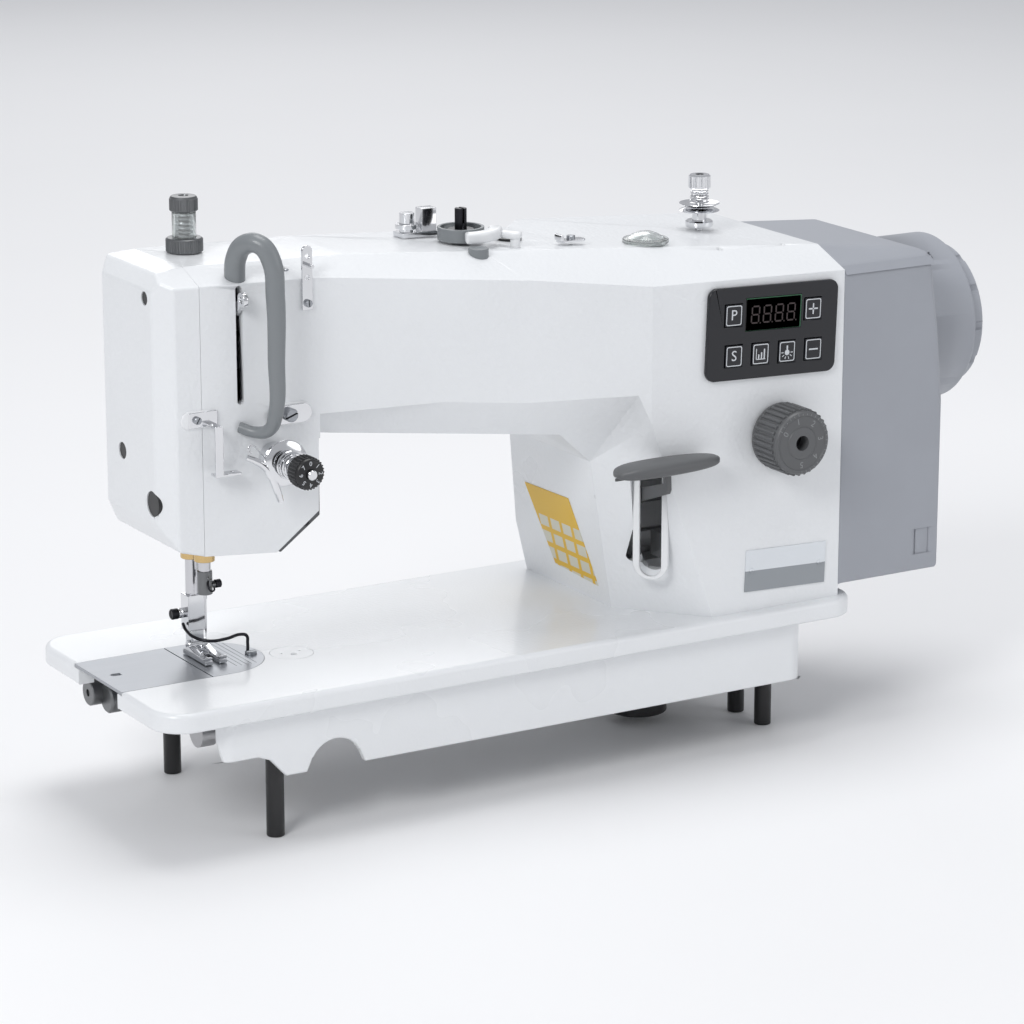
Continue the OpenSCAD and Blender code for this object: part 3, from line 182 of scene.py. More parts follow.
whiteEnamel = enamel("whiteEnamel", (0.80, 0.815, 0.83), 2.7, 0.00042, 0.26)
bedEnamel = enamel("bedEnamel", (0.80, 0.815, 0.83), 1.6, 0.00017, 0.24)
smoothWhite = enamel("smoothWhite", (0.80, 0.81, 0.82), 4.0, 0.00003, 0.25)
greyPlastic = plastic("greyPlastic", (0.335, 0.35, 0.385), 0.42, 1500, 0.00004)
darkPlastic = plastic("darkPlastic", (0.105, 0.108, 0.112), 0.40, 1600, 0.00004)
blackPlastic = plastic("blackPlastic", (0.012, 0.012, 0.013), 0.36)
panelGloss = plastic("panelGloss", (0.0035, 0.004, 0.0075), 0.3, 900, 0.000008, 0.12)
glassBlack = plastic("glassBlack", (0.006, 0.0045, 0.005), 0.2, 900, 0.000004, 0.2)
inkWhite = plastic("inkWhite", (0.62, 0.64, 0.67), 0.45)
inkDim = plastic("inkDim", (0.035, 0.022, 0.022), 0.5)
inkGrey = plastic("inkGrey", (0.24, 0.245, 0.25), 0.45)
boardGreen = plastic("boardGreen", (0.02, 0.10, 0.045), 0.4)
greyCasting = enamel("greyCasting", (0.20, 0.215, 0.225), 1.2, 0.00005, 0.34)
groundSteel = metal("groundSteel", (0.40, 0.415, 0.44), 0.36, (0.12, 9, 1), 260, 0.00002, 0.2)
smokedSteel = metal("smokedSteel", (0.20, 0.205, 0.21), 0.34, (1, 1, 1), 500, 0.000012)
coreSteel = metal("coreSteel", (0.42, 0.42, 0.43), 0.38, (0.2, 1, 1), 700, 0.00002, 0.2)
barSteel = metal("barSteel", (0.62, 0.62, 0.64), 0.16, (1, 1, 12), 500, 0.000008)
brightChrome = metal("brightChrome", (0.78, 0.785, 0.80), 0.10, (1, 1, 1), 400, 0.000006, 0.06)
blackSteel = metal("blackSteel", (0.035, 0.035, 0.04), 0.32)
warmBrass = metal("warmBrass", (0.66, 0.47, 0.22), 0.24)
clearPlastic = clear("clearPlastic")


def platePrint(name, box, colours):
    f = Finish(name)
    z = f.node("ShaderNodeSeparateXYZ", None, {"Vector": f.place()}, 2)
    x = f.node("ShaderNodeSeparateXYZ", None, {"Vector": f.place()}, 0)
    split = (z + (x - (box[0].x + box[1].x) / 2) * 0.035) > (box[0].z + box[1].z) / 2
    grain = f.noise(900, (0.1, 1, 8))
    f.bump(grain, 0.2, 0.00001)
    f.shade(baseColor=f.mix(split, rgba(colours[1]), rgba(colours[0])),
            metallic=0.25, roughness=0.34 + grain * 0.12)
    return f.material


def cardPrint(name, origin, colour, cellSize, cellColour):
    f = Finish(name)
    parts = [f.node("ShaderNodeSeparateXYZ", None, {"Vector": f.place()}, i) for i in (1, 2)]
    u = ((parts[0] - origin.y) * (1 / cellSize[0])).math("FRACT", 0)
    v = ((parts[1] - origin.z) * (1 / cellSize[1])).math("FRACT", 0)
    inside = (u > 0.12) * (u < 0.88) * (v > 0.16) * (v < 0.84)
    low = parts[1] < origin.z + cellSize[1] * 3
    f.bump(f.noise(700), 0.1, 0.00001)
    f.shade(baseColor=f.mix(inside * low, rgba(colour), rgba(cellColour)),
            roughness=0.3 + f.noise(90) * 0.1)
    return f.material


print("finishes: made", len(bpy.data.materials))


# ---- mesh tools ----

weld = 2e-6  # metres: merges the loaded meshes' doubled corners


def opened(mesh, dist=0.0):
    bm = bmesh.new()
    bm.from_mesh(mesh)
    if dist:
        bmesh.ops.remove_doubles(bm, verts=bm.verts, dist=dist)
    return bm


def closeInto(piece, bm):
    bm.to_mesh(piece.data)
    bm.free()
    return piece


def facing(x, y):
    return Matrix((x, y, x.cross(y))).transposed().to_4x4()


def objectFrom(name, bm):
    mesh = bpy.data.meshes.new(name)
    bm.to_mesh(mesh)
    bm.free()
    piece = bpy.data.objects.new(name, mesh)
    collection.objects.link(piece)
    return piece


def freeze(piece):
    graph = bpy.context.evaluated_depsgraph_get()
    graph.update()
    mesh = bpy.data.meshes.new_from_object(piece.evaluated_get(graph), depsgraph=graph)
    mesh.name = piece.name
    piece.modifiers.clear()
    if piece.type == "MESH":
        piece.data = mesh
        return piece
    name = piece.name
    bpy.data.objects.remove(piece)
    mesh.materials.clear()
    solid = bpy.data.objects.new(name, mesh)
    collection.objects.link(solid)
    return solid


def smoothed(piece, angle=38, weighted=True):
    mesh = piece.data
    mesh.polygons.foreach_set("use_smooth", [True] * len(mesh.polygons))
    mesh.set_sharp_from_angle(angle=math.radians(angle))
    if weighted:
        m = piece.modifiers.new("evenNormals", "WEIGHTED_NORMAL")
        m.keep_sharp, m.weight = True, 60
        freeze(piece)
    return piece


def softCopy(node, width, rule=None, segments=3, keep=None, name=None, angle=38):
    bm = opened(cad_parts[node].data, weld)
    if keep:
        seen = set()
        for start in list(bm.verts):
            if start in seen:
                continue
            island, todo = [], [start]
            seen.add(start)
            while todo:
                v = todo.pop()
                island.append(v)
                for e in v.link_edges:
                    w = e.other_vert(v)
                    if w not in seen:
                        seen.add(w)
                        todo.append(w)
            mid = inBed(sum((v.co for v in island), Vector()) / len(island))
            if not keep(mid):
                bmesh.ops.delete(bm, geom=island, context="VERTS")
    bmesh.ops.dissolve_limit(bm, angle_limit=math.radians(0.7), verts=bm.verts, edges=bm.edges,
                             use_dissolve_boundaries=False)
    layer = bm.edges.layers.float.new("bevel_weight_edge")
    for e in bm.edges:
        if len(e.link_faces) == 2:
            bend = math.degrees(e.calc_face_angle_signed(0))
            size = rule(inBed((e.verts[0].co + e.verts[1].co) / 2), bend, e.calc_length() * 1000,
                        min(f.calc_area() for f in e.link_faces) * 1e6) if rule else (
                            width if bend > angle else 0)
            e[layer] = min(1, size / width) if size else 0
    piece = objectFrom(name or node.replace("_", " ").title().replace(" ", ""), bm)
    m = piece.modifiers.new("edges", "BEVEL")
    m.limit_method, m.width, m.segments = "WEIGHT", width * 0.001, segments
    m.use_clamp_overlap, m.miter_outer = False, "MITER_ARC"
    m.material = -1
    freeze(piece)
    return smoothed(piece, angle)


def lathe(name, profile, where, axis=(0, 0, 1), turns=64):
    bm = bmesh.new()
    rings = []
    for r, h in profile:
        if r < 1e-6:
            rings.append([bm.verts.new((0, 0, h * 0.001))])
        else:
            rings.append([bm.verts.new((r * 0.001 * math.cos(2 * math.pi * k / turns),
                                        r * 0.001 * math.sin(2 * math.pi * k / turns), h * 0.001))
                          for k in range(turns)])
    closed = len(rings[0]) > 1 and len(rings[-1]) > 1
    for a, b in zip(rings, rings[1:] + (rings[:1] if closed else [])):
        for k in range(turns):
            quad = [a[k % len(a)], a[(k + 1) % len(a)], b[(k + 1) % len(b)], b[k % len(b)]]
            quad = list(dict.fromkeys(quad))
            if len(quad) > 2:
                bm.faces.new(quad)
    bmesh.ops.recalc_face_normals(bm, faces=bm.faces)
    turn = Vector((0, 0, 1)).rotation_difference(Vector(axis)).to_matrix().to_4x4()
    bm.transform(Matrix.Translation(where) @ turn)
    return smoothed(objectFrom(name, bm), 32, False)


def sweep(name, points, radii, sides=10):
    curve = bpy.data.curves.new(name, "CURVE")
    curve.dimensions = "3D"
    curve.bevel_depth, curve.bevel_resolution = 0.001, sides // 2
    curve.use_fill_caps, curve.resolution_u = True, 8
    line = curve.splines.new("BEZIER")
    line.bezier_points.add(len(points) - 1)
    for i, (bp, p) in enumerate(zip(line.bezier_points, points)):
        bp.co = at(*p)
        bp.handle_left_type = bp.handle_right_type = "AUTO"
        bp.radius = radii[i] if isinstance(radii, (list, tuple)) else radii
    piece = bpy.data.objects.new(name, curve)
    collection.objects.link(piece)
    solid = freeze(piece)
    bm = opened(solid.data, weld / 2)
    bmesh.ops.recalc_face_normals(bm, faces=bm.faces)
    return smoothed(closeInto(solid, bm), 50, False)


def slab(name, outline, thickness, where, x=(1, 0, 0), y=(0, 0, 1), edge=0.0):
    # a flat plate: outline in mm along x and y, its front face at where, its body behind it
    x, y = Vector(x).normalized(), Vector(y).normalized()
    bm = bmesh.new()
    face = bm.faces.new([bm.verts.new((p[0] * 0.001, p[1] * 0.001, 0)) for p in outline])
    face.normal_update()
    if face.normal.z < 0:
        face.normal_flip()
    top = bmesh.ops.extrude_face_region(bm, geom=[face])
    for v in [g for g in top["geom"] if isinstance(g, bmesh.types.BMVert)]:
        v.co.z -= thickness * 0.001
    bmesh.ops.recalc_face_normals(bm, faces=bm.faces)
    if edge:
        rim = [e for e in bm.edges if e.calc_face_angle(0) > 0.6 and
               max(abs(v.co.z) for v in e.verts) < 1e-7]
        bmesh.ops.bevel(bm, geom=rim, offset=edge * 0.001, segments=3, profile=0.5, affect="EDGES")
    bm.transform(Matrix.Translation(where) @ facing(x, y))
    return smoothed(objectFrom(name, bm), 35, False)


def roundBox(w, h, r, steps=6):
    points = []
    for cx, cy, start in ((w / 2 - r, h / 2 - r, 0), (-w / 2 + r, h / 2 - r, 90),
                          (-w / 2 + r, -h / 2 + r, 180), (w / 2 - r, -h / 2 + r, 270)):
        for k in range(steps + 1):
            a = math.radians(start + 90 * k / steps)
            points.append((cx + r * math.cos(a), cy + r * math.sin(a)))
    return points


def merged(name, pieces):
    bm = bmesh.new()
    for p in pieces:
        bm.from_mesh(p.data)
        bpy.data.objects.remove(p)
    return objectFrom(name, bm)


def joined(name, pieces, angle=32):
    return smoothed(merged(name, pieces), angle, False)


def settle(piece, body, slot, material, *nodes):
    piece.data.materials.clear()
    piece.data.materials.append(material)
    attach(piece, body)
    if nodes:
        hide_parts(*nodes)
    return piece


# ---- geometry node tools ----

def growTree(name, inputs, build):
    tree = bpy.data.node_groups.new(name, "GeometryNodeTree")
    for label, kind, value in inputs:
        socket = tree.interface.new_socket(label, in_out="INPUT", socket_type="NodeSocket" + kind)
        if value is not None:
            socket.default_value = value
    tree.interface.new_socket("Geometry", in_out="OUTPUT", socket_type="NodeSocketGeometry")
    entry = tree.nodes.new("NodeGroupInput")
    leave = tree.nodes.new("NodeGroupOutput")

    def node(kind, settings=None, sockets=None):
        n = tree.nodes.new(kind)
        for key, v in (settings or {}).items():
            setattr(n, key, v)
        for key, v in (sockets or {}).items():
            if isinstance(v, bpy.types.NodeSocket):
                tree.links.new(v, n.inputs[key])
            else:
                n.inputs[key].default_value = v
        return n

    made = build(node, entry.outputs)
    whole = node("GeometryNodeRealizeInstances", None, {"Geometry": made})
    skin = node("GeometryNodeSetMaterial", None, {"Geometry": whole.outputs[0],
                                                 "Material": entry.outputs["Finish"]})
    tree.links.new(skin.outputs[0], leave.inputs[0])
    return tree


def grow(tree, name, values, turn=None):
    holder = bpy.data.objects.new(name, bpy.data.meshes.new(name))
    collection.objects.link(holder)
    m = holder.modifiers.new("grow", "NODES")
    m.node_group = tree
    for item in tree.interface.items_tree:
        if item.item_type == "SOCKET" and item.in_out == "INPUT" and item.name in values:
            m[item.identifier] = values[item.name]
    freeze(holder)
    if turn:
        holder.data.transform(turn)
    return smoothed(holder, 35, False)


def mathNode(node, operation, *values):
    return node("ShaderNodeMath", {"operation": operation}, dict(enumerate(values))).outputs[0]


def ribBuild(node, given):
    step = mathNode(node, "DIVIDE", 2 * math.pi, given["Count"])
    angle = mathNode(node, "MULTIPLY", node("GeometryNodeInputIndex").outputs[0], step)
    x = mathNode(node, "MULTIPLY", mathNode(node, "COSINE", angle), given["Radius"])
    y = mathNode(node, "MULTIPLY", mathNode(node, "SINE", angle), given["Radius"])
    place = node("ShaderNodeCombineXYZ", None, {"X": x, "Y": y}).outputs[0]
    facing = node("ShaderNodeCombineXYZ", None, {"Z": angle}).outputs[0]
    rib = node("GeometryNodeMeshCylinder", None, {"Vertices": given["Rib sides"],
                                                  "Radius": given["Rib radius"],
                                                 "Depth": given["Rib length"]}).outputs[0]
    points = node("GeometryNodePoints", None, {"Count": given["Count"], "Position": place}).outputs[0]
    return node("GeometryNodeInstanceOnPoints", None, {"Points": points, "Instance": rib,
                                                      "Rotation": facing}).outputs[0]


def coilBuild(node, given):
    path = node("GeometryNodeCurveSpiral", None, {
        "Resolution": 24, "Rotations": given["Turns"], "Start Radius": given["Start radius"],
        "End Radius": given["End radius"], "Height": given["Height"]}).outputs[0]
    ring = node("GeometryNodeCurvePrimitiveCircle", None, {"Resolution": 8,
                                                           "Radius": given["Wire radius"]}).outputs[0]
    return node("GeometryNodeCurveToMesh", None, {"Curve": path, "Profile Curve": ring,
                                                 "Fill Caps": True}).outputs[0]


def screwBuild(node, given):
    head = node("GeometryNodeMeshCylinder", None, {"Vertices": 40, "Radius": given["Head radius"],
                                                  "Depth": given["Head height"]}).outputs[0]
    crown = node("GeometryNodeMeshCone", None, {
        "Vertices": 40, "Radius Bottom": given["Head radius"], "Radius Top": given["Crown radius"],
        "Depth": given["Crown height"]}).outputs[0]
    half = mathNode(node, "MULTIPLY", given["Head height"], 0.5)
    lift = node("ShaderNodeCombineXYZ", None, {"Z": half}).outputs[0]
    crownUp = node("GeometryNodeTransform", None, {"Geometry": crown, "Translation": lift}).outputs[0]
    slotSize = node("ShaderNodeCombineXYZ", None, {"X": 0.05, "Y": given["Slot width"],
                                                  "Z": given["Slot depth"]}).outputs[0]
    top = mathNode(node, "ADD", half, given["Crown height"])
    slotPlace = node("ShaderNodeCombineXYZ", None, {"Z": top}).outputs[0]
    slot = node("GeometryNodeTransform", None, {
        "Geometry": node("GeometryNodeMeshCube", None, {"Size": slotSize}).outputs[0],
        "Translation": slotPlace}).outputs[0]
    solid = node("GeometryNodeMeshBoolean", {"operation": "UNION"})
    tree = solid.id_data
    tree.links.new(head, solid.inputs[1])
    tree.links.new(crownUp, solid.inputs[1])
    cut = node("GeometryNodeMeshBoolean", {"operation": "DIFFERENCE"}, {0: solid.outputs[0], 1: slot})
    return cut.outputs[0]


finishInput = ("Finish", "Material", None)
ribTree = growTree("ribRing", [("Count", "Int", 24), ("Radius", "Float", 0.02),
                               ("Rib radius", "Float", 0.001),
                               ("Rib length", "Float", 0.01), ("Rib sides", "Int", 8), finishInput],
                               ribBuild)
coilTree = growTree("coilSpring", [("Turns", "Float", 5.0), ("Start radius", "Float", 0.005),
                                   ("End radius", "Float", 0.005), ("Height", "Float", 0.01),
                                   ("Wire radius", "Float", 0.0005), finishInput], coilBuild)
screwTree = growTree("slottedScrew", [("Head radius", "Float", 0.003), ("Head height", "Float", 0.002),
                                      ("Crown radius", "Float", 0.0026), ("Crown height", "Float", 0.0004),
                                      ("Slot width", "Float", 0.0007), ("Slot depth", "Float", 0.0016),
                                      finishInput], screwBuild)


def standing(where, axis, spin=0.0):
    turn = Vector((0, 0, 1)).rotation_difference(Vector(axis)).to_matrix().to_4x4()
    return Matrix.Translation(where) @ turn @ Matrix.Rotation(math.radians(spin), 4, "Z")


def ribs(name, where, axis, count, radius, ribRadius, length, sides, finish):
    return grow(ribTree, name, {"Count": count, "Radius": radius * 0.001, "Rib radius": ribRadius * 0.001,
                                "Rib length": length * 0.001, "Rib sides": sides, "Finish": finish},
                standing(where, axis))


def coil(name, where, axis, turns, r0, r1, height, wire, finish):
    return grow(coilTree, name, {"Turns": turns, "Start radius": r0 * 0.001, "End radius": r1 * 0.001,
                                 "Height": height * 0.001, "Wire radius": wire * 0.001, "Finish": finish},
                standing(where, axis))


def screwHead(name, where, axis, radius, height, finish, spin=20.0):
    # where is the middle of the head's seat
    lift = Vector(axis).normalized() * height * 0.0005
    return grow(screwTree, name, {
        "Head radius": radius * 0.001, "Head height": height * 0.001, "Crown radius": radius * 0.00084,
        "Crown height": radius * 0.00014, "Slot width": radius * 0.00026, "Slot depth": radius * 0.0008,
        "Finish": finish}, standing(where + lift, axis, spin))


def lettering(name, marks, thickness=0.06):
    # marks: text, height in mm, middle point, right and up directions
    made = []
    for text, size, where, right, up in marks:
        curve = bpy.data.curves.new(name, "FONT")
        curve.body, curve.size = text, size * 0.00135
        curve.align_x, curve.align_y = "CENTER", "CENTER"
        curve.extrude, curve.resolution_u = thickness * 0.0005, 4
        word = bpy.data.objects.new(name, curve)
        collection.objects.link(word)
        solid = freeze(word)
        right, up = Vector(right).normalized(), Vector(up).normalized()
        solid.data.transform(Matrix.Translation(where) @ facing(right, up))
        made.append(solid)
    return merged(name, made)


print("tools: ready")


# ---- camera, light, floor ----

view = {"place": (-1.17275, -1.9212, 0.7608), "turn": (74.8, 0, -30.8), "lens": 134.7}
cameraData = bpy.data.cameras.new("camera")
cameraData.lens, cameraData.sensor_width = view["lens"], 36
cameraData.clip_start, cameraData.clip_end = 0.05, 60
camera = bpy.data.objects.new("camera", cameraData)
camera.location = view["place"]
camera.rotation_euler = [math.radians(a) for a in view["turn"]]
collection.objects.link(camera)
bpy.context.scene.camera = camera

light = {"key": ((-2.6, -1.6, 2.2), 1.3, 46), "fill": ((2.4, -2.6, 1.2), 2.2, 13),
         "top": ((0.3, 0.2, 2.8), 1.6, 30), "back": ((1.2, 2.8, 1.8), 1.8, 12)}
for name, (where, size, power) in light.items():
    data = bpy.data.lights.new(name, "AREA")
    data.shape, data.size, data.energy = "DISK", size, power
    lamp = bpy.data.objects.new(name, data)
    lamp.location = where
    lamp.rotation_euler = (Vector((0, 0, 0.15)) - Vector(where)).to_track_quat("-Z", "Y").to_euler()
    collection.objects.link(lamp)

world = bpy.data.worlds.new("studio")
world.use_nodes = True
world.node_tree.nodes["Background"].inputs[0].default_value = (0.93, 0.95, 1.0, 1)
world.node_tree.nodes["Background"].inputs[1].default_value = 0.52
bpy.context.scene.world = world
bpy.context.scene.view_settings.view_transform = "Standard"

bm = bmesh.new()
bmesh.ops.create_grid(bm, x_segments=1, y_segments=1, size=14)
floor = objectFrom("floor", bm)
paper = Finish("paper")
paper.shade(baseColor=paper.mix(paper.noise(3), (0.86, 0.86, 0.865, 1), (0.88, 0.88, 0.885, 1)),
            roughness=0.8)
floor.data.materials.append(paper.material)
print("stage: camera, lights and floor")


# ---- castings ----

def prism(name, outline, axis, low, high):
    # a straight bar of that outline, drawn in the bed's millimetres
    place = {"x": lambda u, v, w: at(w, u, v), "y": lambda u, v, w: at(u, w, v),
             "z": lambda u, v, w: at(u, v, w)}[axis]
    bm = bmesh.new()
    ends = [[bm.verts.new(place(u, v, w)) for u, v in outline] for w in (low, high)]
    bm.faces.new(ends[0])
    bm.faces.new(ends[1][::-1])
    for i in range(len(outline)):
        j = (i + 1) % len(outline)
        bm.faces.new((ends[0][i], ends[1][i], ends[1][j], ends[0][j]))
    bmesh.ops.recalc_face_normals(bm, faces=bm.faces)
    return objectFrom(name, bm)


def carve(piece, tool, operation, crossing=False):
    # crossing: the tool's own faces may meet one another
    m = piece.modifiers.new("carve", "BOOLEAN")
    m.object, m.operation, m.solver = tool, operation, "EXACT"
    m.use_self = m.use_hole_tolerant = crossing
    freeze(piece)
    bpy.data.objects.remove(tool)
    return piece


def trim(piece, point, normal):
    # cuts away what lies beyond the plane
    bm = opened(piece.data)
    bmesh.ops.bisect_plane(bm, geom=bm.verts[:] + bm.edges[:] + bm.faces[:], plane_co=at(*point),
                           plane_no=Vector(normal).normalized(), clear_outer=True)
    bmesh.ops.holes_fill(bm, edges=[e for e in bm.edges if e.is_boundary], sides=0)
    bmesh.ops.recalc_face_normals(bm, faces=bm.faces)
    return closeInto(piece, bm)


def block(name, low, high):
    return prism(name, [(low[0], low[1]), (high[0], low[1]), (high[0], high[1]), (low[0], high[1])],
                 "z", low[2], high[2])


hair = 0.00003  # how far a skin stands outside its casting


def castSkin(piece, width, rule, segments=5):
    # rounds the outer edges, then grows the skin a hair so that only the rounding cuts
    bm = opened(piece.data, weld / 2)
    bmesh.ops.dissolve_limit(bm, angle_limit=math.radians(0.4), verts=bm.verts, edges=bm.edges)
    layer = bm.edges.layers.float.new("bevel_weight_edge")
    for e in bm.edges:
        if len(e.link_faces) == 2:
            bend = math.degrees(e.calc_face_angle_signed(0))
            size = rule(inBed((e.verts[0].co + e.verts[1].co) / 2), bend)
            e[layer] = min(1, size / width)
    closeInto(piece, bm)
    m = piece.modifiers.new("round", "BEVEL")
    m.limit_method, m.width, m.segments, m.use_clamp_overlap = "WEIGHT", width * 0.001, segments, True
    bm = opened(freeze(piece).data)
    bm.normal_update()
    for v in bm.verts:
        v.co += v.normal * hair
    return closeInto(piece, bm)


def castPiece(node, skin, name, crossing=False):
    # the casting's own mesh, with its outer edges cut round by the skin
    piece = objectFrom(name, opened(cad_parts[node].data, weld))
    return smoothed(carve(piece, skin, "INTERSECT", crossing), 30)


arm = {"low": 49, "high": 464, "edge": 6.5, "soft": 9.0, "joint": 0.8, "steps": 1}
# planes: a point in the bed's millimetres and an outward direction
roof = ((464, 8, 205), (340, -4173, 10914))
underBevel, sideBevel = ((250, 25, 145), (1396, 6036, 4187)), ((371, 8, 0), (5040, 4149, 1800))


def armSkin(low, high):
    body = prism("skin", [(low, 76), (95, 72), (122.5, 93), (123, 136), (172, 131), (222, 126), (279, 120),
                          (306, 98), (330, 0), (331.2, -5), (high, -5), (high, 216), (150, 237),
                          (low, 240)],
                 "y", 0, 178)
    carve(body, prism("plan", [(low, 45), (124, 45), (143, 42), (250, 25), (326, 8), (high, 8), (high, 158),
                               (322, 158), (300, 132), (low, 128)], "z", -20, 400), "INTERSECT")
    trim(body, *roof)
    carve(body, trim(block("cutter", (124, -20, -10), (300, 200, 150)), *underBevel),
          "DIFFERENCE")
    corner = trim(block("cutter", (300, -20, -10), (380, 200, 151)), *underBevel)
    carve(body, trim(corner, *sideBevel), "DIFFERENCE")
    return body


def armRule(mid, bend):
    if bend < 3:
        return 0
    if mid.x < arm["low"] + 0.1 or mid.x > arm["high"] - 0.1:
        return arm["joint"]
    return arm["soft"] if bend < 40 else arm["edge"]


armOuter = castSkin(armSkin(arm["low"], arm["high"]), arm["soft"], armRule, arm["steps"])
settle(castPiece("arm_casting", armOuter, "armBody", True), "frame", "white_enamel", whiteEnamel,
       "arm_casting")

cover = prism("skin", [(48.8, 76), (34, 80), (24, 96), (24, 230), (30, 239), (48.8, 240)], "y", 0, 178)
carve(cover, prism("plan", [(48.8, 45), (33, 45), (24, 56), (24, 120), (32, 128), (48.8, 128)],
                   "z", 50, 400), "INTERSECT")
trim(cover, *roof)
cover = castSkin(cover, 7, lambda mid, bend: 0.8 if mid.x > 48.6 else 0 if bend < 3 else arm["edge"])
settle(castPiece("face_plate", cover, "facePlate"), "frame", "white_enamel", whiteEnamel, "face_plate")


def bedRule(mid, bend, length, area):
    if bend < 30:
        return 0
    rim = mid.x < 1 or mid.x > 475 or mid.y < 1 or mid.y > 177 or (
        math.hypot(max(0, 20 - mid.x, mid.x - 456), max(0, 20 - mid.y, mid.y - 158)) > 18.5)
    if rim and mid.z > -0.5:
        return 3.2
    if rim and abs(mid.z + 11.7) < 0.3:
        return 1.6
    if mid.z < -14 and (mid.y < 9 or mid.y > 169 or mid.x > 440):
        return 1.5
    return 0.3 if length > 1 else 0


settle(softCopy("bed_casting", 3.2, bedRule, 4, name="bedBody"), "frame", "white_enamel",
       bedEnamel, "bed_casting")
settle(softCopy("motor_cover", 5.0, lambda mid, bend, length, area: 0 if bend < 14 else
                0.5 if mid.x < 465 else 2.0 if mid.x > 584 else
                5.0 if length > 15 and mid.x < 543 else 0.4 if bend > 40 else 0, 4, name="motorCover"),
       "frame", "grey_plastic", greyPlastic, "motor_cover")
settle(softCopy("rear_cover", 1.2, name="rearCover"), "frame", "white_enamel", smoothWhite, "rear_cover")
settle(softCopy("lever_slot_plate", 0.9, name="leverSlotPlate"), "frame", "white_enamel", smoothWhite,
       "lever_slot_plate")
settle(softCopy("handwheel", 0.8, name="handWheel"), "drive", "grey_plastic", greyPlastic, "handwheel")
seats = [slab("seat", roundBox(27, 13, 6.4), 2.4, at(104.2, 43.4, 153), edge=0.9),
         slab("seat", roundBox(21, 10.5, 5.2), 1.6, at(46, 43.9, 156.4), edge=0.9)]
settle(merged("guideSeats", seats), "frame", "white_enamel", smoothWhite)
print("castings: arm, face plate, bed and covers")


# ---- plates, plugs and feet ----

for node, width, body, slot, finish in (
        ("needle_plate", 0.18, "frame", "ground_steel", groundSteel),
        ("slide_plate", 0.18, "slide_plate", "ground_steel", groundSteel),
        ("bed_cover", 0.25, "frame", "white_enamel", bedEnamel),
        ("bed_posts", 0.7, "frame", "black_plastic", blackPlastic),
        ("plugs", 0.4, "frame", "black_plastic", blackPlastic),
        ("lamp_housing", 0.8, "frame", "dark_plastic", darkPlastic),
        ("lamp_button", 0.4, "lamp_button", "black_plastic", blackPlastic),
        ("oil_pump", 0.8, "frame", "black_plastic", blackPlastic),
        ("take_up_lever", 0.45, "take_up", "bright_chrome", brightChrome),
        ("thread_guides", 0.35, "frame", "bright_chrome", brightChrome),
        ("winder_base", 0.5, "frame", "grey_casting", greyCasting),
        ("winder_spindle", 0.4, "winder_spindle", "black_steel", blackSteel),
        ("needle_clamp", 0.3, "needle_bar", "bright_chrome", smokedSteel),
        ("lifter_lever", 1.0, "lifter", "bright_chrome", brightChrome),
        ("bar_bushings", 0.3, "frame", "bronze", warmBrass),
        ("rotary_hook", 0.4, "hook", "bright_chrome", brightChrome),
        ("feed_bar", 0.3, "feed_bar", "core_steel", coreSteel),
        ("control_panel", 0.7, "frame", "panel_gloss", panelGloss),
        ("name_plate", 0.15, "frame", "plate_aluminium", None)):
    if finish is None:
        finish = platePrint("platePrint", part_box("name_plate"), ((0.72, 0.75, 0.78), (0.30, 0.32, 0.34)))
    words = node.split("_")
    settle(softCopy(node, width, segments=2, name=words[0] + "".join(w.title() for w in words[1:])),
           body, slot, finish, node)
print("plates: bevelled")

for node, finish in {"motor_stator": coreSteel, "motor_rotor": coreSteel, "shaft_bushings": warmBrass,
                     "display_board": boardGreen, "bobbin_case": brightChrome, "main_shaft": barSteel,
                     "needle_crank": coreSteel, "upright_shaft": coreSteel, "upright_gears": coreSteel,
                     "hook_shaft": coreSteel, "bobbin": groundSteel, "needle_bar": barSteel,
                     "needle_link": coreSteel, "needle": barSteel, "presser_bar": barSteel,
                     "feed_rocker": coreSteel}.items():
    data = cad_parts[node].data
    data.materials.clear()
    data.materials.append(finish)

# ---- screws ----

def topZ(x):
    return 240 - 3 * (x - 49) / 101 if x < 150 else 237 - 21 * (x - 150) / 314


screwSpots = [((103, 42.4, 153), (0, -1, 0), 4), ((45, 43.5, 156.5), (0, -1, 0), 2.2),
              ((116.2, 43.3, 216), (0, -1, 0), 2.2), ((305, 66, topZ(305) + 3.5), (0, 0, 1), 2.6),
              ((102, 98, topZ(102) - 0.6), (0, 0, 1), 2.6), ((110, 73, topZ(110) - 0.6), (0, 0, 1), 2.6),
              ((108, 56, topZ(108) - 6), (0, 0, 1), 2.6), ((394, 40, topZ(394) - 6), (0, 0, 1), 2),
              ((440, 40, topZ(440) - 6), (0, 0, 1), 2), ((97, 85, -0.9), (0, 0, 1), 3.4)]
screwSpots += [((x, 161.2, z), (0, 1, 0), 3) for x in (348, 446) for z in (12, 170)]
heads = [screwHead("screw", at(*where), axis, r, r * 0.76, groundSteel, 20 + 37 * i)
         for i, (where, axis, r) in enumerate(screwSpots)]
heads.append(lathe("takeUpPin", [(0, 0), (3, 0), (3, 41.5), (0, 41.5)], at(71, 76, 194), (1, 0, 0), 32))
settle(joined("screws", heads, 35), "frame", "ground_steel", groundSteel, "fasteners")
print("screws: set", len(screwSpots))

# ---- control panel: keys, icons, display ----

panel = {"line": 0.55, "tilt": 2, "relief": 0.00005}
tilt = math.radians(panel["tilt"])
right = Vector((math.cos(tilt), 0, -math.sin(tilt)))
up = Vector((math.sin(tilt), 0, math.cos(tilt)))


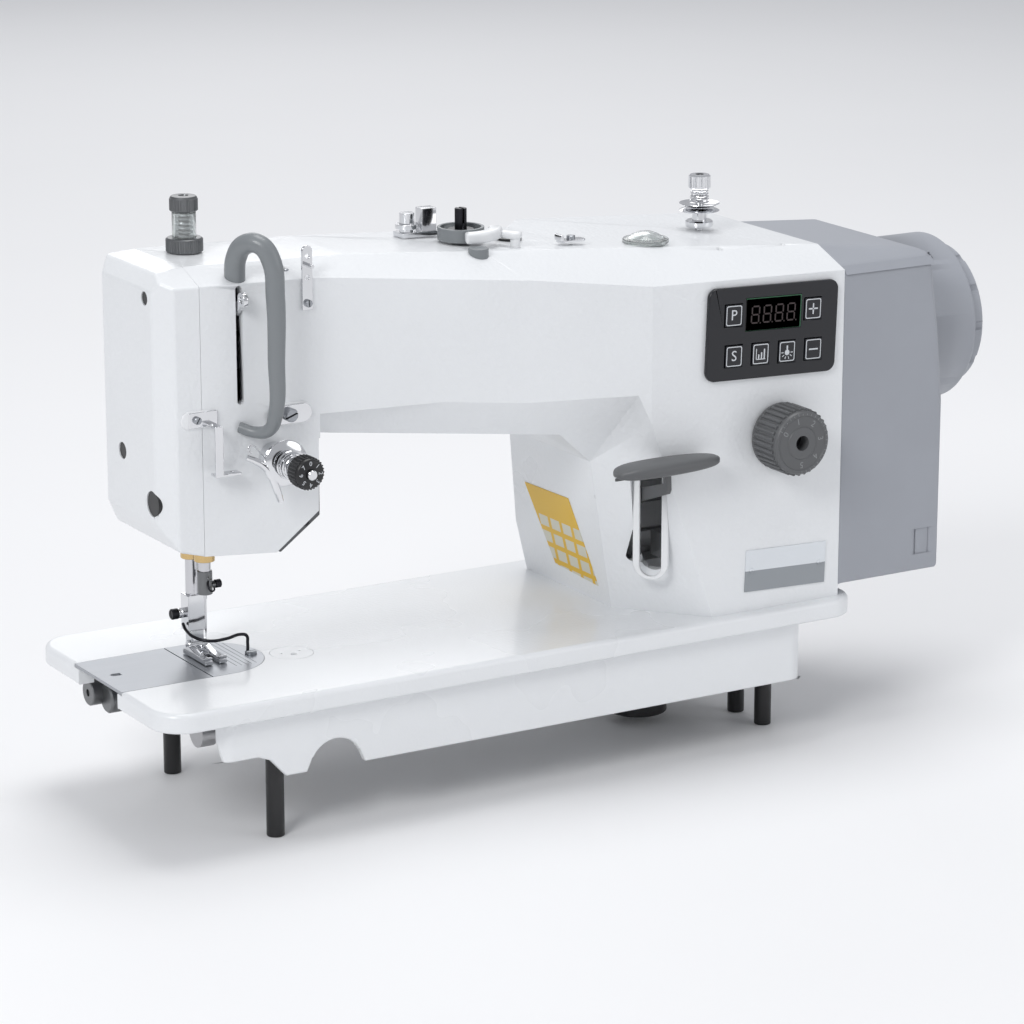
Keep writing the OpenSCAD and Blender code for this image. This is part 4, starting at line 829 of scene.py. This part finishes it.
def onPanel(body, x, z, y=0.0):
    low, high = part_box(body)
    mid = (low + high) / 2
    return Vector((mid.x, low.y, mid.z)) + right * x * 0.001 + up * z * 0.001 + Vector((0, y, 0)) * 0.001


def frameLine(name, where, w, h, r, line):
    bm = bmesh.new()
    outer, inner = [[bm.verts.new((p[0] * 0.001, p[1] * 0.001, 0))
                     for p in roundBox(w - 2 * d, h - 2 * d, r - d * 0.6)] for d in (0, line)]
    faces = [bm.faces.new((outer[i], outer[(i + 1) % len(outer)], inner[(i + 1) % len(outer)], inner[i]))
             for i in range(len(outer))]
    made = bmesh.ops.extrude_face_region(bm, geom=faces)
    for v in [g for g in made["geom"] if isinstance(g, bmesh.types.BMVert)]:
        v.co.z += panel["relief"]
    bmesh.ops.recalc_face_normals(bm, faces=bm.faces)
    bm.transform(Matrix.Translation(where) @ facing(right, up))
    return objectFrom(name, bm)


def bar(name, where, w, h, spin=0.0, deep=0.06):
    a = math.radians(spin)
    x = right * math.cos(a) + up * math.sin(a)
    y = up * math.cos(a) - right * math.sin(a)
    return slab(name, roundBox(w, h, min(w, h) * 0.2, 2), deep, where - Vector((0, panel["relief"], 0)),
                x, y)


keys = {"key_p": "P", "key_s": "S", "key_plus": "+", "key_minus": "-", "key_bars": "bars",
        "key_lamp": "lamp"}
for node, mark in keys.items():
    settle(softCopy(node, 0.25, segments=2, name=node.replace("_", "") + "Cap"), node, "panel_gloss",
           panelGloss, node)
    face = lambda x, z: onPanel(node, x, z, -0.03)
    lines = [frameLine("outline", face(0, 0), 11.0, 12.0, 1.3, panel["line"])]
    if mark in "PS":
        lines.append(lettering("letter", [(mark, 6.6, face(0, 0), right, up)]))
    elif mark == "+":
        lines += [bar("plus", face(0, 0), 6.6, 0.9), bar("plus", face(0, 0), 0.9, 6.6)]
    elif mark == "-":
        lines.append(bar("minus", face(0, 0), 6.6, 0.9))
    elif mark == "bars":
        lines += [bar("axis", face(0, -3.2), 6.8, 0.5), bar("axis", face(-3.2, 0), 0.5, 6.6)]
        lines += [bar("column", face(x, -3 + h / 2), 0.9, h) for x, h in ((-1.4, 2.8), (0.6, 4.0),
            (2.6, 6.0))]
    else:
        lines.append(lathe("bulb", [(0, 0.05), (1.7, 0.05), (1.7, 0), (0, 0)], face(0, -0.6),
                           (0, -1, 0), 24))
        lines.append(bar("stem", face(0, 2.4), 1.1, 2.6))
        lines += [bar("ray", face(3.4 * math.cos(math.radians(a)), -0.6 + 3.4 * math.sin(math.radians(a))),
                      1.7, 0.5, a) for a in (180, 215, 250, 290, 325, 0)]
    settle(merged(node.replace("_", "") + "Mark", lines), node, "panel_gloss", inkWhite)

low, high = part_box("control_panel")
screenMid = Vector(((low.x + high.x) / 2, low.y + 0.0001, (low.z + high.z) / 2 + 0.0108))
settle(slab("displayGlass", roundBox(39.4, 19.4, 0.8), 0.5, screenMid, right, up, 0.1), "frame",
       "panel_gloss", glassBlack)
segments = []
for i in range(4):
    centre = screenMid + right * (-12.9 + i * 8.6) * 0.001 + Vector((0, -0.00002, 0))
    for dx, dz, w, h in ((0, 5, 4.2, 0.9), (0, 0, 4.2, 0.9), (0, -5, 4.2, 0.9), (-2.6, 2.5, 0.9, 4.1),
                         (2.6, 2.5, 0.9, 4.1), (-2.6, -2.5, 0.9, 4.1), (2.6, -2.5, 0.9, 4.1),
                         (4.1, -5.2, 0.8, 0.8)):
        segments.append(bar("segment", centre + right * (dx + dz * 0.08) * 0.001 + up * dz * 0.001, w,
                            h, 0, 0.05))
settle(merged("displayDigits", segments), "frame", "panel_gloss", inkDim)
print("panel: keys and display")

# ---- stitch dial ----

dial = {"ribs": 32, "marks": 6, "ticks": 25, "first": 150}
dialAt = at(417, 0, 108.5)


def spoke(degrees):
    # outward and sideways directions on a dial seen from the front
    a = math.radians(degrees)
    return Vector((math.cos(a), 0, math.sin(a))), Vector((math.sin(a), 0, -math.cos(a)))


dialSkin = [lathe("dialBody", [(4.6, 7.9), (4.6, 18), (9.6, 18), (10.2, 17.4), (16.4, 17.4),
                               (17.0, 18.0), (18.6, 17.8), (19.4, 16.9), (19.6, 15.5), (19.6, -4),
                               (20.4, -4.6), (20.4, -6), (7.9, -6), (7.9, -19.5), (4.6, -19.5)], dialAt,
                               (0, -1, 0), 96)]
dialSkin.append(ribs("dialRibs", at(417, -5.2, 108.5), (0, -1, 0), dial["ribs"], 19.75, 1.15, 19.6, 8,
                     darkPlastic))
settle(merged("stitchDial", dialSkin), "dial", "dark_plastic", darkPlastic, "stitch_dial")
smoothed(bpy.data.objects["stitchDial"], 35, False)
marks = []
for i in range(dial["marks"]):
    out, side = spoke(dial["first"] - i * 48)
    marks.append((str(i), 4.0, dialAt + out * 0.0134 + Vector((0, -0.01742, 0)), side, out))
settle(lettering("dialNumbers", marks), "dial", "dark_plastic", inkGrey)
ticks = []
for i in range(dial["ticks"]):
    out, side = spoke(dial["first"] - i * 10)
    ticks.append(slab("tick", roundBox(0.35, 1.2 if i % 5 else 2.0, 0.1, 1), 0.05,
                      dialAt + out * 0.0178 + Vector((0, -0.01799, 0)), side, out))
settle(merged("dialTicks", ticks), "dial", "dark_plastic", inkGrey)
settle(lathe("dialPlug", [(0, 9.5), (4.4, 9.5), (4.4, 8.0), (0, 8.0)], dialAt, (0, -1, 0), 40), "dial",
       "dark_plastic", blackPlastic)
print("stitch dial: numbered")

# ---- reverse lever ----

paddle = {"z": 103.2, "sides": 20, "treads": 8, "pitch": 7.5}
# stations: x, middle y, width, height
stations = [(290.4, -9.0, 4, 2.2), (292.5, -8.0, 13, 4.6), (298, -6.4, 20, 7.2), (308, -5.2, 23, 8.4),
            (322, -4.8, 23.4, 8.8), (338, -4.6, 22.6, 8.6), (350, -4.4, 20, 7.8), (359, -4.2, 16, 6.6),
            (364, -4.0, 10, 4.8), (365.6, -3.9, 4, 2.6)]
bm = bmesh.new()
rings = []
for x, y, w, h in stations:
    ring = []
    for k in range(paddle["sides"]):
        a = 2 * math.pi * k / paddle["sides"]
        c, s = math.cos(a), math.sin(a)
        flat = 0.55 if s < 0 else 0.75  # flatter underneath
        ring.append(bm.verts.new(at(x, y + w / 2 * math.copysign(abs(c) ** 0.6, c),
                                    paddle["z"] + h / 2 * math.copysign(abs(s) ** flat, s))))
    rings.append(ring)
for a, b in zip(rings, rings[1:]):
    for k in range(paddle["sides"]):
        bm.faces.new((a[k], a[(k + 1) % paddle["sides"]], b[(k + 1) % paddle["sides"]], b[k]))
bm.faces.new(rings[0][::-1])
bm.faces.new(rings[-1])
bmesh.ops.recalc_face_normals(bm, faces=bm.faces)
pad = objectFrom("leverPaddle", bm)
m = pad.modifiers.new("round", "SUBSURF")
m.levels = m.render_levels = 2
freeze(pad)
smoothed(pad, 60, False)
treads = merged("leverTreads", [slab("tread", roundBox(1.6, 15, 0.7, 3), 1.6,
                                     at(300 + i * paddle["pitch"], -5, 98.75), (0, 1, 0), (1, 0, 0))
                                for i in range(paddle["treads"])])
blade = [(66.5, 63.5), (66.8, 67.5), (64, 70.6), (6, 89.4), (7.6, 98.8), (2.4, 99.4), (1.6, 86),
         (3, 83.4), (59, 62), (63, 61)]
stem = merged("leverStem", [slab("blade", blade, 3.4, at(336.7, 0, 0), (0, 1, 0), (0, 0, 1), 0.5),
                            lathe("pin", [(0, 0), (4, 0), (4, 60), (0, 60)], at(330, 62, 66), (1, 0, 0),
                                  32)])
settle(smoothed(stem, 35, False), "reverse", "dark_plastic", darkPlastic, "reverse_lever")
settle(pad, "reverse", "dark_plastic", darkPlastic)
settle(treads, "reverse", "dark_plastic", darkPlastic)
print("reverse lever: paddle and stem")

# ---- take-up guard: points along it, and its radius there ----

guard = [((74.5, 52, 231), 6.0), ((74.2, 48.5, 246), 6.0), ((76.5, 42, 254), 5.8),
         ((81.5, 34.5, 254.8), 5.6), ((86, 29.8, 247), 5.6), ((88, 28.4, 225), 5.5),
         ((88, 28.4, 190), 5.0), ((87, 29, 157), 4.3), ((84.5, 32, 148.5), 3.8), ((79, 38, 146.5), 3.4),
         ((72, 44.5, 149), 3.1)]
loop = sweep("takeUpGuard", [g[0] for g in guard], [g[1] for g in guard], 16)
settle(loop, "frame", "grey_casting", greyCasting, "take_up_guard")

# ---- thread tension on the head ----

tension = {"x": 93.4, "z": 128.6, "marks": 8}
tensionMid = lambda y: at(tension["x"], y, tension["z"])
parts = [lathe("tensionBase", [(2.9, 0), (9.3, 0), (9.3, 6.6), (8.2, 7.8), (5.2, 7.8), (5.2, 8.9),
                               (2.9, 8.9)], tensionMid(44.9), (0, -1, 0)),
         lathe("tensionSleeve", [(0, -3), (4.3, -3), (4.3, 1.5), (0, 1.5)], tensionMid(44.5),
               (0, -1, 0), 40),
         lathe("postRod", [(0, -13), (2.9, -13), (2.9, 48.3), (2.4, 48.9), (0, 48.9)], tensionMid(45),
               (0, -1, 0), 40)]
for y, face in ((30.8, -1), (27.6, 1)):
    parts.append(lathe("tensionDisc", [(3.0, 0.35), (9.5, 0.3), (12.6, 1.55), (13.35, 1.75),
                                       (13.5, 1.45), (13.3, 1.2), (12.8, 0.95), (9.8, -0.35),
                                       (3.0, -0.3)], tensionMid(y), (0, face, 0), 72))
parts.append(coil("tensionSpring", tensionMid(25.2), (0, -1, 0), 5.5, 8.2, 5.6, 12.6, 0.62, brightChrome))
settle(joined("headTension", parts), "frame", "bright_chrome", brightChrome)
parts = [coil("checkCoil", tensionMid(38.5), (0, -1, 0), 3.5, 6.4, 6.4, 4.2, 0.45, brightChrome)]
parts.append(sweep("checkWire", [(87.2, 35.2, 126.5), (84, 34.6, 130), (78.5, 34, 136.5),
                                 (74.6, 33.6, 140.3), (72.4, 33.5, 139.8), (72.0, 33.6, 137.4),
                                 (73.8, 33.7, 136.2)], 0.45, 8))
settle(merged("checkSpring", parts), "frame", "bright_chrome", brightChrome)
finger = sweep("threadFinger", [(70.5, 33, 134), (75, 31.5, 131.8), (81, 30.5, 127.5), (85, 30.2, 121),
                                (88, 30.2, 113), (90.5, 31, 106.5)],
               [1.7, 2.0, 2.4, 2.4, 2.3, 1.9], 12)
settle(finger, "frame", "bright_chrome", brightChrome)

knob = [lathe("knobBody", [(3.1, -11), (8.4, -11), (9.1, -10.2), (9.1, -1.2), (8.4, 0.4), (7.6, 0.9),
                           (3.1, 0.9)],
              tensionMid(0), (0, -1, 0), 72),
        ribs("knobRibs", tensionMid(5.2), (0, -1, 0), 30, 9.1, 0.5, 8.6, 6, blackPlastic)]
settle(joined("tensionDial", knob, 35), "tension_dial", "black_plastic", blackPlastic, "tension_dial")
marks = []
for i in range(tension["marks"]):
    out, side = spoke(90 - i * 45)
    marks.append((str(i), 2.7, tensionMid(-0.93) + out * 0.0061, side, out))
settle(lettering("tensionNumbers", marks), "tension_dial", "black_plastic", inkWhite)
print("thread tension: built")

# ---- winder's lever: a curved arm in front of the cup ----

winder = {"centre": (241, 86), "inner": 16.2, "outer": 24.5, "from": -112, "to": -18, "z": (234.4, 240.8)}
arc = [math.radians(winder["from"] + (winder["to"] - winder["from"]) * k / 16) for k in range(17)]
ring = lambda radius, angles: [(winder["centre"][0] + radius * math.cos(a),
                                winder["centre"][1] + radius * math.sin(a))
                               for a in angles]
outline = ring(winder["outer"], arc) + ring(winder["inner"], arc[::-1])
arch = castSkin(prism("arch", outline, "z", *winder["z"]), 2.2, lambda mid,
                bend: 2.2 if bend > 50 else 0, 4)
tail = castSkin(prism("tail", [(258, 72.5), (262, 62), (267, 60.6), (270.4, 64), (269, 69),
                               (263.6, 77)], "z", 234.6, 238.6),
                1.4, lambda mid, bend: 1.4 if bend > 50 else 0, 3)
pin = lathe("pin", [(0, 219), (3, 219), (3, 235), (0, 235)], at(266, 65, 0), turns=32)
settle(smoothed(merged("winderLever", [arch, tail, pin]), 40, False), "winder_lever", "white_plastic",
       smoothWhite,
       "winder_lever")

# ---- tension post on top, and the winder's ----

z = topZ(417) + 2.6
post = lambda h: at(417, 97, z + h)
parts = [lathe("postFoot", [(0, -8), (2.4, -8), (2.4, 0), (8.3, 0), (8.5, 0.5), (8.5, 3.2), (7.6, 4.0),
                            (4.5, 4.0), (4.3, 10), (2.45, 10.2), (2.45, 28.6), (2.0, 29.6), (0, 29.6)],
                            post(0.02))]
for h, face in ((11.4, -1), (13.2, 1)):
    parts.append(lathe("postDisc", [(2.6, 0.3), (9, 0.3), (11.7, 1.4), (12.4, 1.55), (12.5, 1.3),
                                    (11.9, 0.9), (9.2, -0.25), (2.6, -0.25)],
                       post(h), (0, 0, face), 64))
parts.append(coil("postSpring", post(15.2), (0, 0, 1), 4.5, 5.6, 5.0, 7.6, 0.55, brightChrome))
settle(joined("topTension", parts), "frame", "bright_chrome", brightChrome, "tension_posts")
parts = [lathe("nutBody", [(2.6, 23.5), (6.0, 23.5), (6.4, 24.1), (6.4, 31.6), (5.8, 32.4),
                           (2.6, 32.4)], post(0)),
         ribs("nutRibs", post(27.9), (0, 0, 1), 26, 6.35, 0.5, 7.2, 5, brightChrome)]
settle(joined("topNut", parts), "pretension_nut", "bright_chrome", brightChrome, "pretension_nut")

# ---- presser regulator ----

r = lambda h: at(70, 106, 240 + h)
parts = [lathe("lockNut", [(7.1, -0.2), (10.0, -0.2), (10.4, 0.4), (10.4, 7.6), (9.8, 8.2), (7.1, 8.2)],
               r(0)),
         ribs("lockRibs", r(3.9), (0, 0, 1), 40, 10.35, 0.42, 7.0, 5, brightChrome)]
settle(joined("regulatorNut", parts), "frame", "bright_chrome", smokedSteel, "regulator_sleeve")
settle(lathe("regulatorTube", [(6.9, 8.2), (7.0, 22.6), (6.6, 23.0), (5.9, 23.0), (5.7, 22.6),
                               (5.7, 8.2)], r(0)), "frame",
       "clear_plastic", clearPlastic)
settle(coil("regulatorSpring", r(8.6), (0, 0, 1), 5.5, 4.8, 4.8, 13.6, 0.75, barSteel), "frame",
       "bright_chrome", barSteel)
parts = [lathe("capRod", [(0, -2), (3.3, -2), (3.3, 24), (0, 24)], r(0), turns=40),
         lathe("capBody", [(0, 23.4), (7.4, 23.4), (7.9, 23.9), (7.9, 31.2), (7.2, 32.2), (3.0, 32.4),
                           (2.6, 31.6), (0, 31.6)], r(0)),
         ribs("capRibs", r(27.3), (0, 0, 1), 34, 7.85, 0.4, 6.6, 5, barSteel)]
settle(joined("regulatorCap", parts), "regulator", "bright_chrome", smokedSteel, "regulator_screw")
print("posts and regulator: built")

# ---- oil window ----

low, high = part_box("oil_window")
mid = (low + high) / 2
base = high.z - 0.0069
settle(lathe("windowDome", [(0, 6.7), (4, 6.35), (8, 4.95), (10.6, 3.2), (11.9, 2.5), (13.6, 2.4),
                            (14, 1.9), (14, 0), (11.8, 0), (11.8, -8.5), (10, -8.5), (10, 1.0),
                            (6, 3.3), (0, 4.6)], Vector((mid.x, mid.y, base)), turns=72),
       "frame", "clear_plastic", clearPlastic, "oil_window")
settle(lathe("windowFloat", [(0, 0), (9.8, 0), (9.8, -1), (0, -1)], Vector((mid.x, mid.y, base)),
             turns=48), "frame",
       "grey_casting", greyCasting)

# ---- needle, foot and their small parts ----

footWire = sweep("fingerGuard", [(63, 105, 18.5), (61.6, 98, 16.6), (62.6, 87, 14.6), (68, 80.8, 13.6),
                                 (79, 80, 13.6), (88.5, 80, 14.7), (92, 80, 13.2), (92.5, 80, 9),
                                 (92.5, 80, 4.2)], 0.95, 10)
settle(footWire, "presser", "bright_chrome", blackSteel)
settle(softCopy("presser_foot", 0.35, segments=2, name="presserFoot",
                keep=lambda mid: mid.x < 78 and mid.z < 60 and not (
    mid.y < 95 and mid.z > 8)), "presser", "bright_chrome", brightChrome, "presser_foot")
settle(screwHead("footScrew", at(59.8, 106, 25), (-1, 0, 0), 3.2, 3.6, blackSteel), "presser",
       "bright_chrome", blackSteel)
settle(screwHead("clampScrew", at(76.5, 89, 45), (1, 0, 0), 2.5, 3.2, blackSteel), "needle_bar",
       "bright_chrome", blackSteel)
fork = sweep("needleHook", [(70, 84.8, 48.5), (69, 82.5, 46), (70, 81.6, 43.5), (72.6, 82.4, 43.2),
                            (73.6, 84.4, 44.5)], 0.55, 8)
settle(fork, "needle_bar", "bright_chrome", blackSteel)
toe = [lathe("hinge", [(0, -6.2), (2.5, -6.2), (2.9, -5.7), (2.9, 5.7), (2.5, 6.2), (0, 6.2)],
             at(70, 101.5, 6.2), (1, 0, 0), 32)]
for x in (-4.7, 4.7):
    toe.append(castSkin(prism("prong", [(106, 0.45), (106, 3.2), (99, 6.4), (92, 4.4), (80, 3.4),
                                        (76.5, 5.2), (75.4, 4.4), (78, 0.9), (82, 0.45)], "x",
                                        70 + x - 2.2, 70 + x + 2.2), 0.5,
                        lambda mid, bend: 0.5 if bend > 30 else 0, 2))
settle(joined("footToe", toe, 35), "presser", "bright_chrome", brightChrome)

# ---- feed lift shaft under the slide plate ----

lift = [lathe("shaft", [(0, 0), (7.6, 0), (8.6, 1), (8.6, 48), (0, 48)], at(15, 111, -21.5), (1, 0, 0), 48),
        lathe("boss", [(2.2, 0), (7.2, 0), (7.8, 0.6), (7.8, 9), (2.2, 9)], at(9, 123, -20), (1, 0, 0), 48),
        lathe("bolt", [(0, 1.4), (4.4, 1.4), (4.4, 5), (0, 5)], at(9, 123, -20), (1, 0, 0), 6),
        castSkin(prism("bracket", [(116, -24), (130, -24), (130, -9), (126, -7.6), (119, -7.6),
                                   (116, -12)], "x", 19, 23), 1,
                 lambda mid, bend: 1 if bend > 30 else 0, 2)]
settle(joined("liftShaft", lift, 35), "frame", "core_steel", smokedSteel)
print("needle and foot: built")

# ---- label on the pillar ----

label = {"corners": [(117, 14), (67.7, 11.5), (82, 65.6), (134, 64.3)], "t": 0.3}
faceX = lambda z: 330 - 24 * z / 98 - 0.05
bm = bmesh.new()
front = [bm.verts.new(at(faceX(z) - label["t"], y, z - 0.05)) for y, z in label["corners"]]
back = [bm.verts.new(at(faceX(z), y, z)) for y, z in label["corners"]]
bm.faces.new(front)
bm.faces.new(back[::-1])
for i in range(4):
    bm.faces.new((front[i], back[i], back[(i + 1) % 4], front[(i + 1) % 4]))
bmesh.ops.recalc_face_normals(bm, faces=bm.faces)
card = objectFrom("pillarCard", bm)
settle(card, "frame", "plate_aluminium", cardPrint("cardPrint", at(0, 72, 16), (0.72, 0.44, 0.02),
                                                   (0.0135, 0.0105),
                                                    (0.62, 0.60, 0.50)))
print("label: set")
